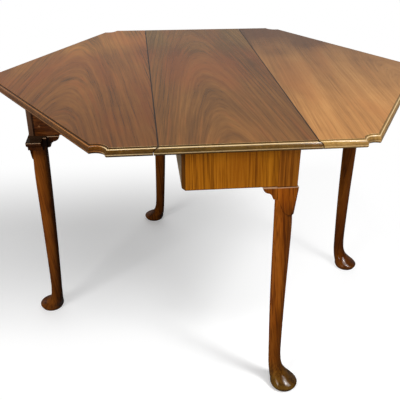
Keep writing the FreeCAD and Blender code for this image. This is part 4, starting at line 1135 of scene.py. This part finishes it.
@dataclass
class Studio:
    """Camera, lamps, floor and white surroundings.

    Attributes:
        pan, tilt, roll: the camera's turns, in radians.
        ambient, behind: strength of the surroundings all round, and more of it from behind the table.
        mirror, mirror_behind: the same in reflections.
        floor_grey, floor_bounce: the floor's tone to the camera and to other light.
        floor_glow, white_glow: how much the floor and its white part shine to the camera.
    """

    eye: Triple = (-0.1957, -1.5353, 1.1820)
    pan: float = 0.112
    tilt: float = 0.509
    roll: float = 0.008
    lens: float = 52.28
    sensor: float = 36.0
    sight: float = 100.0
    ambient: float = 0.08
    behind: float = 1.6
    mirror: float = 0.04
    mirror_behind: float = 0.32
    floor_half: float = 30.0
    floor_grey: float = 0.96
    floor_bounce: float = 0.12
    floor_glow: float = 0.18
    white_glow: float = 0.8

    def set_camera(self) -> None:
        """Stand the camera where the photograph was taken."""
        ahead = Vector((
            math.sin(self.pan) * math.cos(self.tilt),
            math.cos(self.pan) * math.cos(self.tilt),
            -math.sin(self.tilt),
        ))
        right = Vector((math.cos(self.pan), -math.sin(self.pan), 0.0))
        up = right.cross(ahead)
        turn = Matrix((right, up, -ahead)).transposed() @ Matrix.Rotation(self.roll, 3, "Z")
        data = bpy.data.cameras.new("camera")
        data.lens = self.lens
        data.sensor_width = self.sensor
        data.clip_end = self.sight
        camera = bpy.data.objects.new("camera", data)
        camera.matrix_world = Matrix.Translation(self.eye) @ turn.to_4x4()
        bpy.context.collection.objects.link(camera)
        bpy.context.scene.camera = camera

    def set_world(self) -> None:
        """Make the surroundings white to look at and a soft light."""
        world = bpy.data.worlds.new("surroundings")
        bpy.context.scene.world = world
        recipe = Recipe(world)
        camera = recipe.add("ShaderNodeLightPath", {}, {}, "Is Camera Ray")
        glossy = recipe.add("ShaderNodeLightPath", {}, {}, "Is Glossy Ray")
        back = recipe.split(recipe.add("ShaderNodeTexCoord", {}, {}, "Generated"))[1]
        gloss = glossy * (back.step(-0.2, 0.5) * self.mirror_behind + self.mirror)
        rest = (1.0 - camera) * (1.0 - glossy) * (back.step(0.45, 0.95) * self.behind + self.ambient)
        sockets = {"Color": (1.0, 1.0, 1.0, 1.0), "Strength": camera + gloss + rest}
        shader = recipe.add("ShaderNodeBackground", {}, sockets)
        recipe.add("ShaderNodeOutputWorld", {}, {"Surface": shader})

    def set_floor(self) -> Object:
        """Lay the pale floor, which keeps the table's shadow.

        Returns:
            The floor's object.
        """
        mesh = bpy.data.meshes.new("floor")
        shape = bmesh.new()
        bmesh.ops.create_grid(shape, x_segments=1, y_segments=1, size=self.floor_half)
        shape.to_mesh(mesh)
        shape.free()
        floor = bpy.data.objects.new("floor", mesh)
        bpy.context.collection.objects.link(floor)
        mesh.materials.append(self.floor_paint())
        return floor

    def floor_paint(self) -> Material:
        """Make the floor's finish, which turns to plain white away from the table's shadow and is painted
        lighter over parts of that shadow at the front left and the rear right.

        Returns:
            The material.
        """
        material = bpy.data.materials.new("floor")
        recipe = Recipe(material)
        camera = recipe.add("ShaderNodeLightPath", {}, {}, "Is Camera Ray")
        place = recipe.add("ShaderNodeTexCoord", {}, {}, "Object")
        across, along, _ = recipe.split(place)
        distance = recipe.add("ShaderNodeVectorMath", {"operation": "LENGTH"}, {0: place}, "Value")
        far = distance.step(1.2, 3.2)
        behind = along.step(0.35, 1.0)
        # Painted light: parts of the table's shadow at the front left and the rear right are painted whiter
        front_left = along.step(0.25, -0.45) * across.step(0.05, -0.25) * 0.9
        right = across.step(0.45, 0.8)
        rear_right = along.step(-0.3, 0.1) * across.step(-0.3, 0.6) * 0.75
        share = far.most(behind).most(front_left).most(right).most(rear_right)
        tint = recipe.mix(camera, (self.floor_bounce,) * 3, (self.floor_grey,) * 3)
        paint = recipe.add("ShaderNodeBsdfDiffuse", {}, {"Color": tint})
        glow = recipe.add("ShaderNodeEmission", {}, {"Strength": camera * self.floor_glow})
        near = recipe.add("ShaderNodeAddShader", {}, {0: paint, 1: glow})
        strength = camera * self.white_glow + (1.0 - self.white_glow)
        white = recipe.add("ShaderNodeEmission", {}, {"Strength": strength})
        shader = recipe.add("ShaderNodeMixShader", {}, {0: share, 1: near, 2: white})
        recipe.add("ShaderNodeOutputMaterial", {}, {"Surface": shader})
        return material

    @staticmethod
    def aim_light(lamp: Object, things: Sequence[Object], spare: bool) -> None:
        """Keep a lamp's light to some things, or off them.

        Args:
            lamp: the lamp's object.
            things: the things.
            spare: whether the light is kept off them.
        """
        group = bpy.data.collections.new(lamp.name + "_light")
        for thing in things:
            group.objects.link(thing)
        lamp.light_linking.receiver_collection = group
        for member in group.collection_objects:
            member.light_linking.link_state = "EXCLUDE" if spare else "INCLUDE"

    def set_up(self, legs: Sequence[str]) -> None:
        """Set up camera, surroundings, floor and lamps.

        Args:
            legs: the pieces that the glint lights alone.
        """
        bpy.context.scene.view_settings.view_transform = "Standard"
        self.set_camera()
        self.set_world()
        floor = self.set_floor()
        hung = {lamp.name: lamp.hang() for lamp in LAMPS}
        self.aim_light(hung["left_window"], [floor], spare=True)
        self.aim_light(hung["glint"], [bpy.data.objects[leg] for leg in legs], spare=False)


def board_woods() -> Tuple[Wood, ...]:
    """Choose the finishes of the three boards of the top.

    Returns:
        The finishes.
    """
    # The front and rear tones of each board are partly fading and partly painted sheen and painted shade
    centre = Wood(
        "centre_board", Grain.ALONG, shade(84, 51, 16), shade(111, 70, 26), shade(136, 89, 38),
        shade(137, 72, 27), heart=(-0.012, 0.29, 0.0), arch=18.0, crown=0.15, dense=2.2, rings=0.15,
        contrast=1.3, polish=0.8, moulded=True, front=(0.93, 0.95, 0.92), rear=(1.09, 1.35, 1.5),
    )
    left = replace(
        centre, name="left_board", middle=shade(121, 74, 27), light=shade(147, 95, 39),
        red=shade(143, 75, 27), heart=(-0.365, 0.10, 0.0), arch=12.0, crown=0.12, dense=1.6, rings=0.14,
        front=(0.62, 0.59, 0.50), rear=(1.52, 1.68, 1.6),
    )
    right = replace(
        centre, name="right_board", dark=shade(114, 73, 31), middle=shade(150, 103, 52),
        light=shade(174, 125, 69), red=shade(152, 95, 44), heart=(0.5, 0.2, 0.0), arch=16.0, crown=0.1,
        dense=1.2, rings=0.06, contrast=1.2, fine=1.2, front=(1.3, 1.3, 1.3), rear=(0.40, 0.33, 0.26),
    )
    return centre, left, right


def frame_woods() -> Tuple[Wood, ...]:
    """Choose the finishes of the legs, rails, blocks and pegs.

    Returns:
        The finishes.
    """
    end_rail = Wood(
        "end_rail_veneer", Grain.UP, shade(110, 60, 9), shade(158, 94, 16), shade(184, 116, 26),
        shade(140, 75, 13), heart=(0.1, 0.0, 0.5), arch=40.0, contrast=1.1, fine=3.2, polish=0.2,
        lap=0.1042, foot=0.59,
    )
    post = replace(
        end_rail, name="post_veneer", dark=shade(106, 57, 12), middle=shade(146, 84, 21),
        light=shade(170, 105, 33), heart=(0.2, 0.1, 0.6), lap=0.0, foot=0.5885,
    )
    # The front leg's wood, with its knee painted lighter, as lit
    leg = Wood(
        "leg_wood", Grain.UP, shade(74, 34, 6), shade(117, 61, 11), shade(141, 80, 22), shade(117, 51, 9),
        heart=(0.3, 0.2, 0.4), arch=9.0, period=0.2, contrast=1.7, fine=2.4, polish=0.25,
        knee=(1.2, 1.2, 1.0),
    )
    # Painted shade: a darker copy of the leg's wood, for the legs that stand in shade under the leaves and
    # at the back
    painted_shade_leg = replace(
        leg, name="dark_leg_wood", dark=shade(48, 21, 3), middle=shade(84, 41, 6), light=shade(108, 59, 13),
        red=shade(84, 35, 5), knee=(0.42, 0.40, 0.42), ledge=(0.09, 0.07, 0.06), toe=(1.4, 1.5, 1.25),
    )
    # Painted sheen and shade: the swinging posts take the leg's wood greyer, as their edges catch light,
    # and darker, as they stand under the leaves
    swing_post = replace(
        leg, name="swing_post", dark=shade(38, 22, 13), middle=shade(62, 41, 28), light=shade(84, 60, 44),
        red=shade(66, 36, 20), knee=None,
    )
    # Painted shade: the fly and side rails are darker copies of the shaded leg wood, as they stand under
    # the leaves
    fly_rail = replace(
        painted_shade_leg, name="fly_rail", grain=Grain.ACROSS, dark=shade(38, 17, 5), middle=shade(64, 31, 11),
        light=shade(96, 56, 22), heart=(0.1, -0.2, 0.5), knee=None, lap=0.466,
    )
    side_rail = replace(fly_rail, name="side_rail", grain=Grain.ALONG, heart=(0.2, 0.0, 0.75), lap=0.0)
    pine = Wood(
        "inner_rail_pine", Grain.ALONG, shade(88, 76, 61), shade(118, 104, 86), shade(138, 121, 100),
        shade(124, 103, 80), heart=(0.15, 0.1, 0.7), rough=0.7, polish=0.0,
    )
    oak = Wood(
        "peg_oak", Grain.ALONG, shade(60, 36, 20), shade(92, 58, 34), shade(116, 78, 48),
        shade(92, 54, 30), heart=(0.0, 0.0, 0.5), rough=0.6, polish=0.0,
    )
    return end_rail, side_rail, swing_post, fly_rail, post, leg, painted_shade_leg, pine, oak


METALS = (
    Iron("forged_iron", shade(70, 66, 62), shade(72, 46, 32), 0.5),
    Iron("worn_steel", shade(128, 122, 114), shade(84, 62, 46), 0.36),
)

# Where the back left leg and the left swinging leg stand; the other two are half a turn round
FIXED_AXIS = (-0.1205, 0.4155)
SWING_AXIS = (-0.4595, -0.0915)
LEGS = (
    Leg("back_left_leg_carved", "frame", FIXED_AXIS, "dark_leg_wood", "post_veneer"),
    Leg("front_right_leg_carved", "frame", FIXED_AXIS, "leg_wood", "post_veneer", turned=True),
    Leg("left_swing_leg_carved", "left_swing_body", SWING_AXIS, "dark_leg_wood", "swing_post", swings=True),
    Leg(
        "right_swing_leg_carved", "right_swing_body", SWING_AXIS, "dark_leg_wood", "swing_post",
        turned=True, swings=True,
    ),
)


def main() -> None:
    """Dress the table, carve its legs and set up the studio."""
    logging.basicConfig(level=logging.INFO, format="%(message)s")
    finishes = board_woods() + frame_woods() + METALS
    paints = {finish.name: finish.make() for finish in finishes}
    Joinery().dress(paints)
    for leg in LEGS:
        leg.build(paints)
    Studio().set_up([leg.name for leg in LEGS])


if __name__ == "__main__":
    main()
